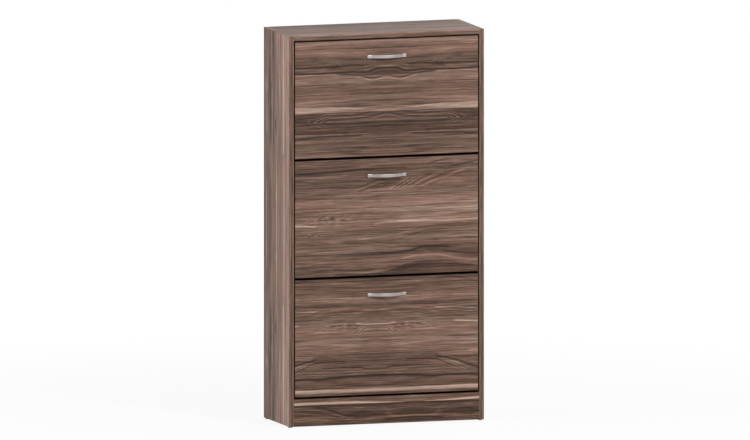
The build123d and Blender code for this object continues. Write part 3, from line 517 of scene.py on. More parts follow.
middleDecor = {
    "seed": 17.0, "lift": 0.006, "lines": 1.12, "stretch": 0.8, "sway": 0.004,
    "tones": [
        (0.0, 0.46), (0.02, 0.44), (0.04, 0.41), (0.07, 0.425), (0.095, 0.42), (0.125, 0.4), (0.145, 0.43),
        (0.165, 0.42), (0.188, 0.39), (0.21, 0.42), (0.237, 0.38), (0.262, 0.42), (0.3, 0.46),
        (0.34, 0.485), (0.365, 0.535), (0.39, 0.525), (0.44, 0.465), (0.49, 0.51), (0.545, 0.52),
        (0.57, 0.49), (0.6, 0.455), (0.69, 0.46), (0.713, 0.43), (0.77, 0.49), (0.8, 0.49), (0.812, 0.43),
        (0.86, 0.45), (0.91, 0.44), (0.94, 0.4), (1.0, 0.38),
    ],
    "sideTones": [
        (0.0, 0.43), (0.037, 0.5), (0.062, 0.44), (0.087, 0.44), (0.113, 0.44), (0.163, 0.465),
        (0.19, 0.485), (0.237, 0.465), (0.263, 0.5), (0.287, 0.47), (0.34, 0.53), (0.365, 0.58),
        (0.39, 0.59), (0.415, 0.56), (0.46, 0.54), (0.545, 0.54), (0.572, 0.52), (0.6, 0.46), (0.66, 0.475),
        (0.69, 0.49), (0.72, 0.46), (0.745, 0.44), (0.765, 0.42), (0.79, 0.42), (0.825, 0.43), (0.85, 0.46),
        (0.885, 0.47), (0.902, 0.46), (0.94, 0.45), (1.0, 0.45),
    ],
    "sideFrom": (-0.14, 0.12),
    "streaks": [
        {"at": (0.05, 0.078), "size": (0.045, 0.013), "slope": -0.5, "pitch": 0.0055, "tone": 0.12},
        {"at": (0.16, 0.062), "size": (0.08, 0.02), "slope": -0.4, "pitch": 0.0055, "tone": 0.12},
        {"at": (-0.02, 0.342), "size": (0.08, 0.01), "slope": -0.22, "pitch": 0.005, "tone": 0.08},
        {"at": (0.085, 0.238), "size": (0.07, 0.016), "slope": -0.24, "pitch": 0.0055, "tone": 0.08},
    ],
    "curls": [
        (0.24, (-0.195, 0.182), (0.075, 0.017)),
        (0.15, (-0.245, 0.23), (0.034, 0.012)),
    ],
    "stains": [
        (-0.08, (0.0, 0.036), (0.08, 0.008)),
        (-0.06, (0.03, 0.334), (0.055, 0.016)),
        (-0.04, (0.08, 0.068), (0.07, 0.018)),
        (-0.035, (-0.24, 0.112), (0.09, 0.02)),
        (0.03, (-0.17, 0.245), (0.09, 0.02)),
        (-0.035, (0.14, 0.245), (0.09, 0.018)),
        (-0.08, (-0.275, 0.041), (0.04, 0.004)),
        (-0.05, (0.0, 0.252), (0.05, 0.007)),
        (-0.08, (0.155, 0.252), (0.01, 0.004)),
        (-0.04, (-0.2, 0.252), (0.1, 0.008)),
        (-0.08, (0.145, 0.276), (0.05, 0.005)),
        (-0.04, (0.1, 0.338), (0.05, 0.012)),
    ],
    "patches": [
        (-0.04, 0.0026, [(-0.09, 0.088), (-0.06, 0.072), (-0.03, 0.063), (0.045, 0.06)],
         [(-0.09, 0.098), (-0.05, 0.0935), (-0.01, 0.0925), (0.045, 0.088)]),
        (-0.055, 0.003, [(-0.05, 0.287), (0.05, 0.284), (0.1, 0.274), (0.17, 0.273), (0.33, 0.281)],
         [(-0.05, 0.295), (0.05, 0.296), (0.1, 0.2935), (0.17, 0.295), (0.22, 0.306), (0.33, 0.3125)]),
        (-0.11, 0.0022, [(-0.03, 0.347), (0.02, 0.336), (0.05, 0.326), (0.09, 0.3205), (0.19, 0.319),
         (0.23, 0.326), (0.33, 0.343)],
         [(-0.03, 0.37), (0.33, 0.37)]),
    ],
    "drawn": [
        (-0.28, 0.0026, [(-0.33, 0.041), (-0.26, 0.0392), (-0.2, 0.0376), (-0.15, 0.0366), (-0.1, 0.0336),
         (-0.04, 0.033)]),
        (-0.13, 0.0017, [(-0.33, 0.06), (-0.27, 0.063), (-0.24, 0.069), (-0.17, 0.07), (-0.08, 0.0675)]),
        (-0.11, 0.0018, [(-0.18, 0.088), (-0.12, 0.088), (-0.09, 0.0855), (-0.06, 0.077), (-0.03, 0.068)]),
        (-0.15, 0.0018, [(-0.09, 0.0985), (-0.06, 0.09), (-0.02, 0.079), (0.02, 0.069), (0.045, 0.064)]),
        (-0.12, 0.0018, [(-0.05, 0.0925), (-0.01, 0.084), (0.03, 0.073), (0.06, 0.064)]),
        (0.11, 0.0015, [(-0.09, 0.0935), (-0.06, 0.084), (-0.03, 0.0755)]),
        (0.09, 0.002, [(-0.07, 0.0975), (-0.02, 0.096), (0.03, 0.095)]),
        (0.18, 0.0014, [(0.012, 0.0925), (0.035, 0.082), (0.055, 0.071), (0.07, 0.064)]),
        (-0.15, 0.0015, [(0.022, 0.0925), (0.048, 0.08), (0.078, 0.065)]),
        (0.18, 0.0014, [(0.032, 0.091), (0.06, 0.077), (0.09, 0.064)]),
        (-0.15, 0.0015, [(0.042, 0.09), (0.072, 0.0745), (0.1, 0.062)]),
        (0.15, 0.0014, [(0.052, 0.089), (0.08, 0.0745), (0.115, 0.059)]),
        (-0.14, 0.0015, [(0.066, 0.088), (0.1, 0.0715), (0.15, 0.052)]),
        (0.18, 0.0014, [(0.078, 0.0885), (0.11, 0.073), (0.14, 0.0605), (0.18, 0.043)]),
        (-0.14, 0.0015, [(0.095, 0.0885), (0.13, 0.0725), (0.17, 0.059), (0.22, 0.043)]),
        (0.16, 0.0014, [(0.11, 0.088), (0.15, 0.0735), (0.19, 0.062), (0.25, 0.042)]),
        (-0.12, 0.0016, [(0.135, 0.0895), (0.17, 0.077), (0.21, 0.064), (0.27, 0.047)]),
        (0.11, 0.0016, [(0.15, 0.085), (0.2, 0.069), (0.25, 0.056)]),
        (-0.14, 0.0022, [(0.13, 0.022), (0.155, 0.015), (0.2, 0.008)]),
        (-0.12, 0.0018, [(0.145, 0.0205), (0.17, 0.023), (0.21, 0.022)]),
        (-0.16, 0.0018, [(0.2, 0.0345), (0.24, 0.0262), (0.28, 0.019), (0.33, 0.012)]),
        (-0.11, 0.0018, [(0.15, 0.031), (0.2, 0.038), (0.25, 0.035)]),
        (0.09, 0.0025, [(0.21, 0.015), (0.25, 0.011), (0.33, 0.01)]),
        (0.3, 0.002, [(-0.33, 0.1965), (-0.26, 0.199), (-0.225, 0.202)]),
        (0.06, 0.002, [(-0.225, 0.202), (-0.13, 0.201), (-0.04, 0.1995)]),
        (0.24, 0.003, [(-0.04, 0.1995), (0.0, 0.197), (0.06, 0.1955), (0.12, 0.195), (0.2, 0.1965),
         (0.33, 0.1935)]),
        (-0.09, 0.0018, [(0.05, 0.232), (0.09, 0.222), (0.125, 0.213), (0.2, 0.209), (0.33, 0.2025)]),
        (-0.08, 0.0016, [(0.04, 0.247), (0.08, 0.236), (0.13, 0.226), (0.19, 0.222)]),
        (0.09, 0.0016, [(-0.09, 0.246), (-0.02, 0.239), (0.04, 0.234), (0.09, 0.2225)]),
        (-0.08, 0.0018, [(-0.06, 0.25), (-0.02, 0.258), (0.045, 0.262)]),
        (0.1, 0.0018, [(-0.24, 0.282), (-0.12, 0.279), (-0.04, 0.278)]),
        (-0.1, 0.0022, [(-0.33, 0.291), (-0.12, 0.29), (0.0, 0.291)]),
        (-0.17, 0.0026, [(-0.02, 0.291), (0.05, 0.288), (0.08, 0.284), (0.105, 0.2775), (0.14, 0.2755),
         (0.2, 0.278)]),
        (0.13, 0.0024, [(0.05, 0.308), (0.09, 0.301), (0.14, 0.2995), (0.18, 0.303), (0.22, 0.313),
         (0.29, 0.32)]),
        (-0.1, 0.0018, [(0.13, 0.286), (0.18, 0.288), (0.23, 0.297), (0.33, 0.303)]),
        (0.08, 0.0016, [(0.12, 0.2905), (0.17, 0.292), (0.22, 0.301), (0.3, 0.308)]),
        (-0.1, 0.0016, [(0.05, 0.335), (0.1, 0.329), (0.2, 0.329), (0.27, 0.337)]),
        (0.08, 0.0016, [(0.06, 0.342), (0.12, 0.339), (0.22, 0.342)]),
        (0.14, 0.0016, [(-0.12, 0.344), (-0.06, 0.347), (0.0, 0.343), (0.03, 0.3355), (0.05, 0.327)]),
        (-0.14, 0.0018, [(-0.17, 0.338), (-0.1, 0.3405), (-0.04, 0.338)]),
        (-0.13, 0.002, [(-0.16, 0.351), (-0.08, 0.353), (-0.02, 0.351)]),
        (0.08, 0.0016, [(-0.14, 0.333), (-0.05, 0.334), (0.0, 0.331)]),
    ],
}

lowerDecor = {
    "seed": 31.0, "bookMatched": True, "matchAt": -0.034, "lift": 0.008, "lines": 1.15, "stretch": 0.8,
    "sway": 0.004,
    "tones": [
        (0.0, 0.37), (0.02, 0.38), (0.035, 0.43), (0.09, 0.44), (0.135, 0.42), (0.16, 0.47), (0.2, 0.48),
        (0.235, 0.43), (0.26, 0.455), (0.34, 0.45), (0.372, 0.47), (0.41, 0.51), (0.45, 0.505), (0.5, 0.48),
        (0.54, 0.515), (0.59, 0.545), (0.63, 0.5), (0.672, 0.5), (0.686, 0.46), (0.697, 0.38),
        (0.735, 0.41), (0.76, 0.39), (0.79, 0.41), (0.835, 0.41), (0.862, 0.39), (0.885, 0.41), (0.93, 0.4),
        (0.943, 0.44), (0.95, 0.72), (0.97, 0.73), (0.977, 0.4),
    ],
    "streaks": [
        {"at": (0.255, 0.266), "size": (0.055, 0.02), "slope": 0.42, "pitch": 0.0055, "tone": 0.12},
    ],
    "curls": [
        (0.22, (0.115, 0.148), (0.06, 0.013)),
        (0.12, (0.05, 0.163), (0.024, 0.012)),
    ],
    "stains": [
        (-0.09, (0.0, 0.299), (0.05, 0.005)),
        (0.04, (0.155, 0.112), (0.06, 0.02)),
        (0.045, (0.29, 0.2), (0.07, 0.02)),
        (-0.04, (0.0, 0.2), (0.06, 0.02)),
        (0.035, (0.1, 0.288), (0.13, 0.02)),
        (-0.05, (0.0, 0.112), (0.026, 0.016)),
        (-0.03, (0.0, 0.018), (0.04, 0.014)),
        (0.05, (0.185, 0.262), (0.03, 0.005)),
        (-0.06, (0.3, 0.005), (0.07, 0.006)),
        (-0.05, (0.28, 0.046), (0.05, 0.008)),
        (-0.05, (0.0, 0.328), (0.07, 0.004)),
    ],
    "patches": [
        (0.15, 0.0012, [(0.1, 0.3395), (0.22, 0.3365), (0.35, 0.3345)], [(0.1, 0.341), (0.22, 0.3405),
         (0.35, 0.34)]),
        (-0.07, 0.003, [(-0.05, 0.224), (0.1, 0.228), (0.2, 0.236)], [(-0.05, 0.247), (0.1, 0.246),
         (0.2, 0.245)]),
    ],
    "drawn": [
        (0.13, 0.0016, [(0.03, 0.0605), (0.12, 0.06), (0.2, 0.059), (0.3, 0.062), (0.35, 0.063)]),
        (-0.1, 0.0028, [(0.22, 0.002), (0.26, 0.008), (0.3, 0.016), (0.35, 0.027)]),
        (0.16, 0.0014, [(0.19, 0.098), (0.25, 0.099), (0.32, 0.1045)]),
        (0.13, 0.0014, [(0.2, 0.106), (0.25, 0.1085), (0.31, 0.114)]),
        (-0.07, 0.0016, [(0.2, 0.102), (0.26, 0.1037), (0.32, 0.1095)]),
        (0.06, 0.0016, [(0.05, 0.0915), (0.12, 0.094), (0.16, 0.101), (0.2, 0.112)]),
        (-0.06, 0.0016, [(0.04, 0.0975), (0.11, 0.1), (0.15, 0.107), (0.19, 0.118)]),
        (0.07, 0.0014, [(0.04, 0.105), (0.1, 0.108), (0.15, 0.117)]),
        (0.07, 0.0014, [(0.06, 0.085), (0.14, 0.088), (0.19, 0.096), (0.23, 0.104)]),
        (-0.07, 0.0014, [(0.06, 0.088), (0.13, 0.0905), (0.18, 0.098), (0.22, 0.107)]),
        (-0.06, 0.0014, [(0.04, 0.102), (0.1, 0.1045), (0.145, 0.112), (0.175, 0.12)]),
        (-0.07, 0.0014, [(0.2, 0.108), (0.26, 0.1115), (0.32, 0.117)]),
        (0.3, 0.0022, [(-0.05, 0.1405), (0.035, 0.141), (0.06, 0.1385)]),
        (0.07, 0.0022, [(0.055, 0.139), (0.15, 0.138), (0.25, 0.14)]),
        (0.3, 0.0022, [(0.25, 0.1398), (0.29, 0.1425), (0.35, 0.1455)]),
        (0.13, 0.0013, [(0.035, 0.15), (0.052, 0.16), (0.068, 0.172)]),
        (0.11, 0.0013, [(0.028, 0.156), (0.044, 0.166), (0.058, 0.176)]),
        (0.1, 0.0013, [(0.045, 0.147), (0.064, 0.158), (0.08, 0.17)]),
        (-0.08, 0.0016, [(-0.05, 0.191), (0.04, 0.191), (0.09, 0.193)]),
        (-0.09, 0.0018, [(-0.05, 0.217), (0.06, 0.2172), (0.12, 0.22)]),
        (-0.18, 0.002, [(0.1, 0.252), (0.15, 0.252), (0.19, 0.255)]),
        (-0.09, 0.0016, [(-0.05, 0.252), (0.05, 0.252), (0.08, 0.2505)]),
        (0.06, 0.0016, [(-0.05, 0.263), (0.03, 0.2632), (0.05, 0.261)]),
        (-0.2, 0.0017, [(-0.05, 0.2785), (0.03, 0.278), (0.048, 0.2735), (0.1, 0.2715), (0.17, 0.272)]),
        (-0.17, 0.0028, [(0.19, 0.245), (0.235, 0.256), (0.27, 0.266), (0.31, 0.28), (0.35, 0.291)]),
        (0.12, 0.0016, [(0.185, 0.248), (0.21, 0.258), (0.24, 0.27), (0.27, 0.283), (0.29, 0.291)]),
        (0.12, 0.0016, [(0.205, 0.2515), (0.24, 0.2625), (0.27, 0.274), (0.3, 0.285)]),
        (-0.13, 0.0016, [(0.19, 0.254), (0.225, 0.2665), (0.26, 0.2805)]),
        (0.08, 0.0016, [(0.23, 0.2495), (0.27, 0.257), (0.33, 0.272)]),
        (0.09, 0.0014, [(0.235, 0.279), (0.26, 0.287), (0.29, 0.2965)]),
        (-0.3, 0.003, [(-0.05, 0.2975), (0.06, 0.2985), (0.12, 0.301), (0.18, 0.3055), (0.24, 0.304),
         (0.35, 0.307)]),
        (-0.1, 0.0018, [(0.1, 0.3345), (0.2, 0.3345), (0.35, 0.3335)]),
    ],
}

plinthDecor = {
    "seed": 47.0, "bookMatched": True, "matchAt": 0.087, "lines": 1.2, "sway": 0.004,
    "tones": [
        (0.0, 0.45), (0.1, 0.47), (0.2, 0.46), (0.24, 0.42), (0.27, 0.37), (0.4, 0.38), (0.52, 0.34),
        (0.62, 0.34), (0.68, 0.38), (0.75, 0.42), (0.82, 0.38), (0.92, 0.36), (1.0, 0.37),
    ],
    "stains": [
        (0.06, (0.35, 0.068), (0.08, 0.012)),
        (0.06, (0.145, 0.034), (0.045, 0.006)),
        (-0.03, (0.0, 0.045), (0.06, 0.012)),
    ],
    "patches": [
        (0.34, 0.001, [(0.03, 0.0188), (0.08, 0.0165), (0.15, 0.0135), (0.21, 0.0108), (0.3, 0.011),
         (0.4, 0.0118)],
         [(0.03, 0.02), (0.12, 0.0195), (0.2, 0.019), (0.4, 0.019)]),
        (-0.08, 0.002, [(0.09, 0.05), (0.13, 0.044), (0.17, 0.044), (0.22, 0.052)],
         [(0.09, 0.056), (0.15, 0.062), (0.19, 0.062), (0.22, 0.056)]),
        (-0.07, 0.002, [(-0.05, 0.067), (0.06, 0.067), (0.1, 0.072)], [(-0.05, 0.08), (0.06, 0.078),
         (0.1, 0.075)]),
    ],
    "drawn": [
        (-0.1, 0.0018, [(-0.05, 0.022), (0.1, 0.022), (0.25, 0.021), (0.42, 0.0215)]),
        (0.12, 0.0018, [(0.075, 0.052), (0.105, 0.045), (0.14, 0.037), (0.19, 0.031)]),
        (0.1, 0.0016, [(0.065, 0.0565), (0.09, 0.052), (0.12, 0.046), (0.16, 0.041)]),
        (-0.1, 0.0022, [(0.085, 0.0495), (0.12, 0.0405), (0.16, 0.035)]),
        (-0.11, 0.003, [(0.205, 0.056), (0.24, 0.046), (0.27, 0.035), (0.32, 0.025)]),
        (0.1, 0.0018, [(0.22, 0.058), (0.25, 0.05), (0.28, 0.04), (0.34, 0.033)]),
        (-0.09, 0.0018, [(0.235, 0.06), (0.27, 0.051), (0.31, 0.044), (0.38, 0.04)]),
        (0.12, 0.0022, [(-0.05, 0.061), (0.05, 0.0615), (0.1, 0.0625), (0.15, 0.066), (0.19, 0.0668),
         (0.23, 0.063), (0.3, 0.057)]),
        (-0.12, 0.0024, [(-0.05, 0.067), (0.05, 0.0668), (0.09, 0.07)]),
        (-0.08, 0.002, [(-0.05, 0.04), (0.03, 0.04), (0.07, 0.044)]),
    ],
}

sideDecor = {
    "bookMatched": True, "greyBase": 0.04, "gloss": 0.16, "sway": 0.014, "lines": 1.6, "stretch": 0.45,
    "tones": [
        (0.0, 0.39), (0.035, 0.36), (0.06, 0.4), (0.1, 0.46), (0.14, 0.4), (0.2, 0.38), (0.26, 0.4),
        (0.3, 0.47), (0.35, 0.5), (0.4, 0.44), (0.46, 0.46), (0.5, 0.54), (0.55, 0.5), (0.62, 0.55),
        (0.7, 0.51), (0.745, 0.56), (0.79, 0.58), (0.84, 0.57), (0.88, 0.55), (0.94, 0.6), (1.0, 0.57),
    ],
    "figures": [
        {"at": (0.3, 0.06), "size": (0.11, 0.03), "push": 0.012},
        {"at": (0.31, 0.112), "size": (0.05, 0.016), "spread": -1.1},
        {"at": (0.15, 0.12), "size": (0.1, 0.03), "push": -0.006},
    ],
    "blushes": [
        (0.9, (0.138, 0.165), (0.06, 0.07)),
        (0.8, (0.48, 0.21), (0.035, 0.035)),
    ],
    "stains": [
        (0.08, (0.45, 0.238), (0.19, 0.026)),
        (0.025, (0.138, 0.165), (0.06, 0.06)),
        (0.12, (0.425, 0.029), (0.022, 0.01)),
        (-0.04, (0.18, 0.04), (0.09, 0.03)),
        (-0.14, (0.31, 0.066), (0.06, 0.014)),
        (0.1, (0.31, 0.03), (0.05, 0.008)),
        (-0.13, (0.305, 0.113), (0.025, 0.006)),
        (-0.08, (0.0, 0.04), (0.06, 0.012)),
        (-0.07, (0.46, 0.06), (0.08, 0.01)),
        (-0.08, (0.54, 0.095), (0.06, 0.008)),
    ],
    "drawn": [
        (0.3, 0.0022, [(0.235, 0.193), (0.45, 0.1938), (0.7, 0.193)]),
        (0.14, 0.0024, [(-0.05, 0.193), (0.045, 0.193)]),
        (0.15, 0.003, [(0.08, 0.1235), (0.22, 0.124)]),
        (-0.17, 0.004, [(0.24, 0.06), (0.3, 0.068), (0.36, 0.066), (0.43, 0.06)]),
        (0.15, 0.003, [(0.36, 0.078), (0.45, 0.075), (0.7, 0.078)]),
        (-0.15, 0.006, [(0.325, 0.069), (0.38, 0.068), (0.44, 0.064), (0.48, 0.056)]),
        (-0.13, 0.004, [(0.27, 0.064), (0.315, 0.067)]),
        (0.14, 0.0026, [(-0.05, 0.125), (0.1, 0.124)]),
        (0.13, 0.003, [(0.47, 0.145), (0.53, 0.135), (0.6, 0.133)]),
        (-0.12, 0.0026, [(-0.05, 0.225), (0.04, 0.2245)]),
        (-0.12, 0.003, [(0.56, 0.084), (0.63, 0.085)]),
        (0.14, 0.0024, [(0.3, 0.088), (0.42, 0.085)]),
        (0.13, 0.0022, [(-0.05, 0.027), (0.08, 0.0265), (0.14, 0.025)]),
        (-0.16, 0.003, [(0.33, 0.088), (0.45, 0.09), (0.7, 0.089)]),
        (-0.2, 0.0024, [(0.285, 0.1145), (0.33, 0.112)]),
        (-0.16, 0.003, [(-0.05, 0.013), (0.1, 0.013)]),
        (-0.14, 0.0024, [(0.1, 0.03), (0.18, 0.0305)]),
        (0.06, 0.0024, [(0.42, 0.14), (0.6, 0.142)]),
        (-0.06, 0.0024, [(0.2, 0.16), (0.32, 0.164), (0.44, 0.161)]),
        (-0.05, 0.0024, [(-0.05, 0.15), (0.1, 0.148)]),
    ],
}

topDecor = {
    "seed": 73.0, "grey": 0.5, "gloss": 0.1, "lines": 1.8, "stretch": 0.5,
    "tones": [
        (0.0, 0.34), (0.12, 0.37), (0.22, 0.43), (0.33, 0.45), (0.46, 0.5), (0.6, 0.48), (0.72, 0.5),
        (0.86, 0.57), (0.95, 0.52), (1.0, 0.51),
    ],
}

bandDecor = {
    "seed": 89.0, "grey": 0.5, "sway": 0.002,
    "tones": [(0.0, 0.44), (0.12, 0.47), (0.3, 0.44), (0.45, 0.39), (0.62, 0.45), (0.82, 0.5), (1.0, 0.47)],
}
# the top edge band's tones are paler along its top rim, a painted highlight where the rounded edge catches
# light, and darker towards the bottom
topBandHighlightTones = [(0.0, 0.62), (0.16, 0.58), (0.3, 0.46), (0.5, 0.44), (0.7, 0.46), (0.85, 0.4), (1.0, 0.36)]
topBandHighlightDecor = dict(bandDecor, seed=91.0, tones=topBandHighlightTones)
endBandDecor = dict(topDecor, lines=1.0, tones=[(0.0, 0.48), (1.0, 0.5)])


def boardDecor(decor, node, axes, fromHigh, rawFaces=(), skins=()):
    # fits a decor to a board: the run of tones starts at its high or low side across the grain
    low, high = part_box(node)
    along, across = axes[:2]
    fitted = dict(decor, axes=axes, middle=(low[along] + high[along]) / 2, width=high[across] - low[across])
    fitted["from"] = high[across] if fromHigh else low[across]
    fitted["towards"] = -1.0 if fromHigh else 1.0
    if rawFaces:
        fitted["rawFaces"] = rawFaces
        fitted["skins"] = [(axis, low[axis], high[axis]) for axis in skins]
    return fitted


# axes count x, y, z as 0, 1, 2 and give the way along the grain, across it and into the board;
# a raw face is given by its axis and the side it faces, a skin by the axis it lies across
for level, decor in (("upper", upperDecor), ("middle", middleDecor), ("lower", lowerDecor)):
    fitted = boardDecor(decor, f"{level}_flap_edge_band", (0, 2, 1), True)
    paint(f"{level}_flap_panel", woodMaterial(f"{level}FlapWood", fitted))
paint("plinth_panel", woodMaterial("plinthWood", boardDecor(plinthDecor, "plinth_panel", (0, 2, 1), True)))
for hand, seed in (("left", 61.0), ("right", 66.0)):
    name = f"side_panel_{hand}"
    fitted = boardDecor(dict(sideDecor, seed=seed), name, (2, 1, 0), True, ((1, 1), (2, -1)), (0,))
    fitted["endBand"] = boardDecor(endBandDecor, name, (1, 0, 2), True)
    paint(name, woodMaterial(f"side{hand.capitalize()}Wood", fitted))
fitted = boardDecor(topDecor, "top_panel", (0, 1, 2), True, ((1, 1),), (2,))
paint("top_panel", woodMaterial("topWood", fitted))
paint("bottom_panel", woodMaterial("bottomWood", boardDecor(topDecor, "bottom_panel", (0, 1, 2), True)))
for level in ("lower", "upper"):
    name = f"cross_rail_{level}"
    paint(name, woodMaterial(f"{level}RailWood", boardDecor(bandDecor, name, (0, 2, 1), True)))
for hand in ("left", "right"):
    name = f"side_edge_band_{hand}"
    paint(name, woodMaterial(f"{hand}BandWood", boardDecor(bandDecor, name, (2, 0, 1), hand == "left")))
# the top edge band carries the painted highlight along its top rim
fitted = boardDecor(topBandHighlightDecor, "top_edge_band", (0, 2, 1), True)
paint("top_edge_band", woodMaterial("topBandWoodHighlight", fitted))
# the flap edges get the painted-shade band, near black so that the gaps look dark
gapShadeBand = gapShadeBandMaterial("flapBandGapShade")
for level in levels:
    paint(f"{level}_flap_edge_band", gapShadeBand)
print("wood decor done")

plasticFinish = {
    "grainSize": 1800.0, "fineShare": 0.4, "flowSize": 14.0, "broadShare": 0.6, "colourRange": (0.35, 0.65),
    "fineRough": 0.1, "broadRough": 0.12, "bump": 0.35, "bumpDepth": 0.00015,
}
plasticKinds = {
    "blackPlastic": {"dark": (0.014, 0.014, 0.015, 1), "pale": (0.022, 0.022, 0.023, 1), "roughness": 0.38},
    "brownPlastic": {"dark": (0.055, 0.035, 0.027, 1), "pale": (0.075, 0.05, 0.038, 1), "roughness": 0.35},
}


def plasticMaterial(name):
    # moulded plastic with a fine eroded grain
    finish = dict(plasticFinish, **plasticKinds[name])
    material, shader, start = newMaterial(name)
    place = objectPlace(start)
    grain = evenNoise(start, place, finish["grainSize"])
    fillSurface(shader, start, grain, evenNoise(start, place, finish["flowSize"]), finish)
    return material


hardboardFinish = {
    "hairSize": 420.0, "hairDetail": (4.0, 0.7), "fineShare": 0.7, "patchSize": 9.0, "patchDetail": 3.0,
    "broadShare": 0.3, "colourRange": (0.38, 0.62), "fineRough": 0.2, "broadRough": 0.0, "bump": 0.25,
    "bumpDepth": 0.0002,
}
hardboardKinds = {
    "backBoard": {"dark": (0.155, 0.085, 0.048, 1), "pale": (0.235, 0.14, 0.082, 1), "roughness": 0.6},
    "shelfBoard": {"dark": (0.03, 0.024, 0.021, 1), "pale": (0.05, 0.041, 0.036, 1), "roughness": 0.45},
}


def hardboardMaterial(name):
    # pressed fibre: short random hairs over broad faint patches
    finish = dict(hardboardFinish, **hardboardKinds[name])
    material, shader, start = newMaterial(name)
    x, y, z = objectPlace(start)
    size = finish["hairSize"]
    hairs = noise(start, x * size, (y + z) * size, (y - z) * size, *finish["hairDetail"])
    patches = evenNoise(start, (x, y, z), finish["patchSize"], finish["patchDetail"])
    fillSurface(shader, start, hairs, patches, finish)
    return material


metalFinish = {
    "lineSize": 2600.0, "lineDetail": (3.0, 0.6), "fineShare": 0.5, "smearSize": (25.0, 60.0),
    "broadShare": 0.5, "colourRange": (0.35, 0.65), "fineRough": 0.14, "broadRough": 0.08,
    "bump": 0.12, "bumpDepth": 0.0001,
}
metalKinds = {
    "satinSilver": {"dark": (0.315, 0.287, 0.275, 1), "pale": (0.45, 0.415, 0.4, 1), "roughness": 0.22},
    "zincPlate": {"dark": (0.42, 0.42, 0.4, 1), "pale": (0.6, 0.6, 0.56, 1), "roughness": 0.25},
    "castZinc": {"dark": (0.3, 0.3, 0.29, 1), "pale": (0.42, 0.42, 0.4, 1), "roughness": 0.44},
}
grainAlongX = {"satinSilver": 30.0, "zincPlate": 900.0, "castZinc": 900.0}  # 30 is brushed, 900 plated


def metalMaterial(name):
    finish = dict(metalFinish, **metalKinds[name])
    material, shader, start = newMaterial(name)
    x, y, z = objectPlace(start)
    size = finish["lineSize"]
    lines = noise(start, x * grainAlongX[name], y * size, z * size, *finish["lineDetail"])
    lengthwise, crosswise = finish["smearSize"]
    smears = noise(start, x * lengthwise, y * crosswise, z * crosswise)
    fillSurface(shader, start, lines, smears, finish)
    shader.inputs["Metallic"].default_value = 1.0
    return material


backBoard = hardboardMaterial("backBoard")
shelfBoard = hardboardMaterial("shelfBoard")
blackPlastic = plasticMaterial("blackPlastic")
satinSilver = metalMaterial("satinSilver")
zincPlate = metalMaterial("zincPlate")
beechDecor = {
    "seed": 97.0, "grey": 0.1, "sway": 0.001, "tones": [(0.0, 0.7), (1.0, 0.72)],
    "axes": (0, 2, 1), "middle": 0.0, "from": 0.0, "towards": 1.0, "width": 1.2,
}

for name in ("back_panel_lower", "back_panel_upper"):
    paint(name, backBoard)
for name in ("cam_bolts", "glide_nails", "back_panel_nails", "pivot_pins", "stop_pins"):
    paint(name, zincPlate)
for name in ("wall_brackets", "wall_bracket_screws"):
    paint(name, zincPlate)
paint("back_joiner_strip", plasticMaterial("brownPlastic"))
paint("cam_locks", metalMaterial("castZinc"))
paint("wood_dowels", woodMaterial("beechWood", beechDecor))
paint("floor_glides", blackPlastic)
for level in levels:
    paint(f"{level}_flap_handle", satinSilver)
    for kind in ("handle_screws", "cheek_screws"):
        paint(f"{level}_flap_{kind}", zincPlate)
    for kind in ("cheek_left", "cheek_right"):
        paint(f"{level}_flap_{kind}", blackPlastic)
    for kind in ("middle_divider", "rear_divider", "front_shelf", "rear_shelf"):
        paint(f"{level}_flap_{kind}", shelfBoard)
print("other finishes done")

cameraSettings = {
    "azimuth": -17.96, "elevation": 7.21, "frameWidth": 2.2713, "aimHeight": 0.6097, "distance": 8.0,
    "clipEnd": 60.0,
}


def addCamera(settings):
    turn = math.radians(settings["azimuth"])
    rise = math.radians(settings["elevation"])
    back = Vector((math.sin(turn) * math.cos(rise), -math.cos(turn) * math.cos(rise), math.sin(rise)))
    data = bpy.data.cameras.new("camera")
    data.type = "ORTHO"
    data.ortho_scale = settings["frameWidth"]
    data.clip_end = settings["clipEnd"]
    camera = bpy.data.objects.new("camera", data)
    camera.location = Vector((0, 0, settings["aimHeight"])) + back * settings["distance"]
    camera.rotation_euler = (math.pi / 2 - rise, 0, turn)
    bpy.context.scene.collection.objects.link(camera)
    bpy.context.scene.camera = camera


lampAim = (0, 0, 0.6)
lampSettings = {
    "key": {"from": (1.7, -4.7, 3.2), "size": 0.9, "power": 195.0},
    "left": {"from": (-5.1, -0.45, 2.1), "size": 2.0, "power": 151.0},
    "back": {"from": (3.4, 3.8, 2.0), "size": 2.4, "power": 135.0},
    "top": {"from": (0.5, -0.4, 5.2), "size": 2.6, "power": 26.0},
}


def addLamp(name, settings):
    data = bpy.data.lights.new(name, "AREA")
    data.size = settings["size"]
    data.energy = settings["power"]
    lamp = bpy.data.objects.new(name, data)
    lamp.location = settings["from"]
    aim = Vector(lampAim) - lamp.location
    lamp.rotation_euler = aim.to_track_quat("-Z", "Y").to_euler()
    bpy.context.scene.collection.objects.link(lamp)


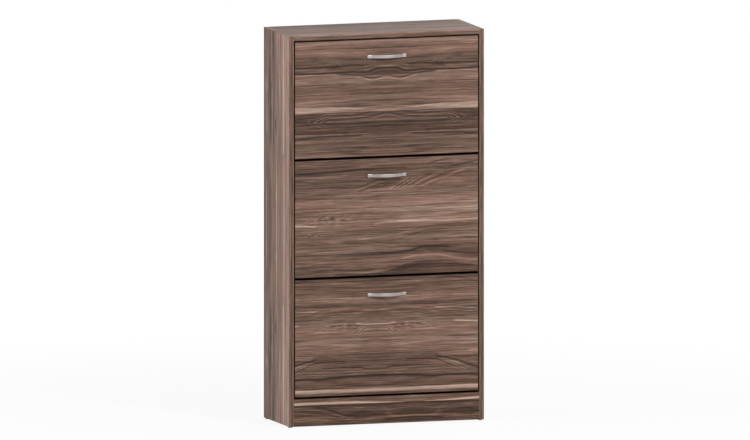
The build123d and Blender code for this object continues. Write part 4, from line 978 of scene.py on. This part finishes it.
def directRays(start):
    # 1 for what the camera sees directly, by gloss or through glass
    seen = start.add("ShaderNodeLightPath", None, None, output="Is Camera Ray")
    glossy = start.add("ShaderNodeLightPath", None, None, output="Is Glossy Ray")
    through = start.add("ShaderNodeLightPath", None, None, output="Is Transmission Ray")
    return seen.larger(glossy).larger(through)


worldStrength = 0.08


def addWorld(strength):
    # white to the eye, softer as a light
    world = bpy.data.worlds.new("studio")
    world.use_nodes = True
    tree = world.node_tree
    start = Wire(tree)
    back = tree.nodes["Background"]
    back.inputs["Color"].default_value = (1, 1, 1, 1)
    tree.links.new((directRays(start) * (1.0 - strength) + strength).socket, back.inputs["Strength"])
    bpy.context.scene.world = world


# plain white has its full share from the second distance on, and its least share up to the first;
# both distances are squared
floorSettings = {"size": 60.0, "colour": (0.88, 0.88, 0.88, 1), "leastWhite": 0.91, "distances": (0.3, 5.0)}


def addFloor(settings):
    # matt near the cabinet, so that its shadow shows, and plain white farther out
    bpy.ops.object.select_all(action="DESELECT")
    bpy.ops.mesh.primitive_plane_add(size=settings["size"], location=(0, 0, 0))
    floor = bpy.context.active_object
    floor.name = "studioFloor"
    material = bpy.data.materials.new("paleFloor")
    material.use_nodes = True
    tree = material.node_tree
    start = Wire(tree)
    tree.nodes.remove(tree.nodes["Principled BSDF"])
    matt = start.add("ShaderNodeBsdfDiffuse", None, {"Color": settings["colour"]})
    glow = start.add("ShaderNodeEmission", None, {"Color": (1, 1, 1, 1), "Strength": 1.0})
    x, y, z = objectPlace(start)
    far = (x * x + y * y).step(*settings["distances"])
    white = far * (1.0 - settings["leastWhite"]) + settings["leastWhite"]
    mixed = start.add("ShaderNodeMixShader", None, {0: directRays(start) * white, 1: matt, 2: glow})
    tree.links.new(mixed.socket, tree.nodes["Material Output"].inputs["Surface"])
    floor.data.materials.append(material)


addCamera(cameraSettings)
for name, settings in lampSettings.items():
    addLamp(name, settings)
addWorld(worldStrength)
addFloor(floorSettings)
bpy.context.scene.view_settings.view_transform = "Standard"
print("stage done")
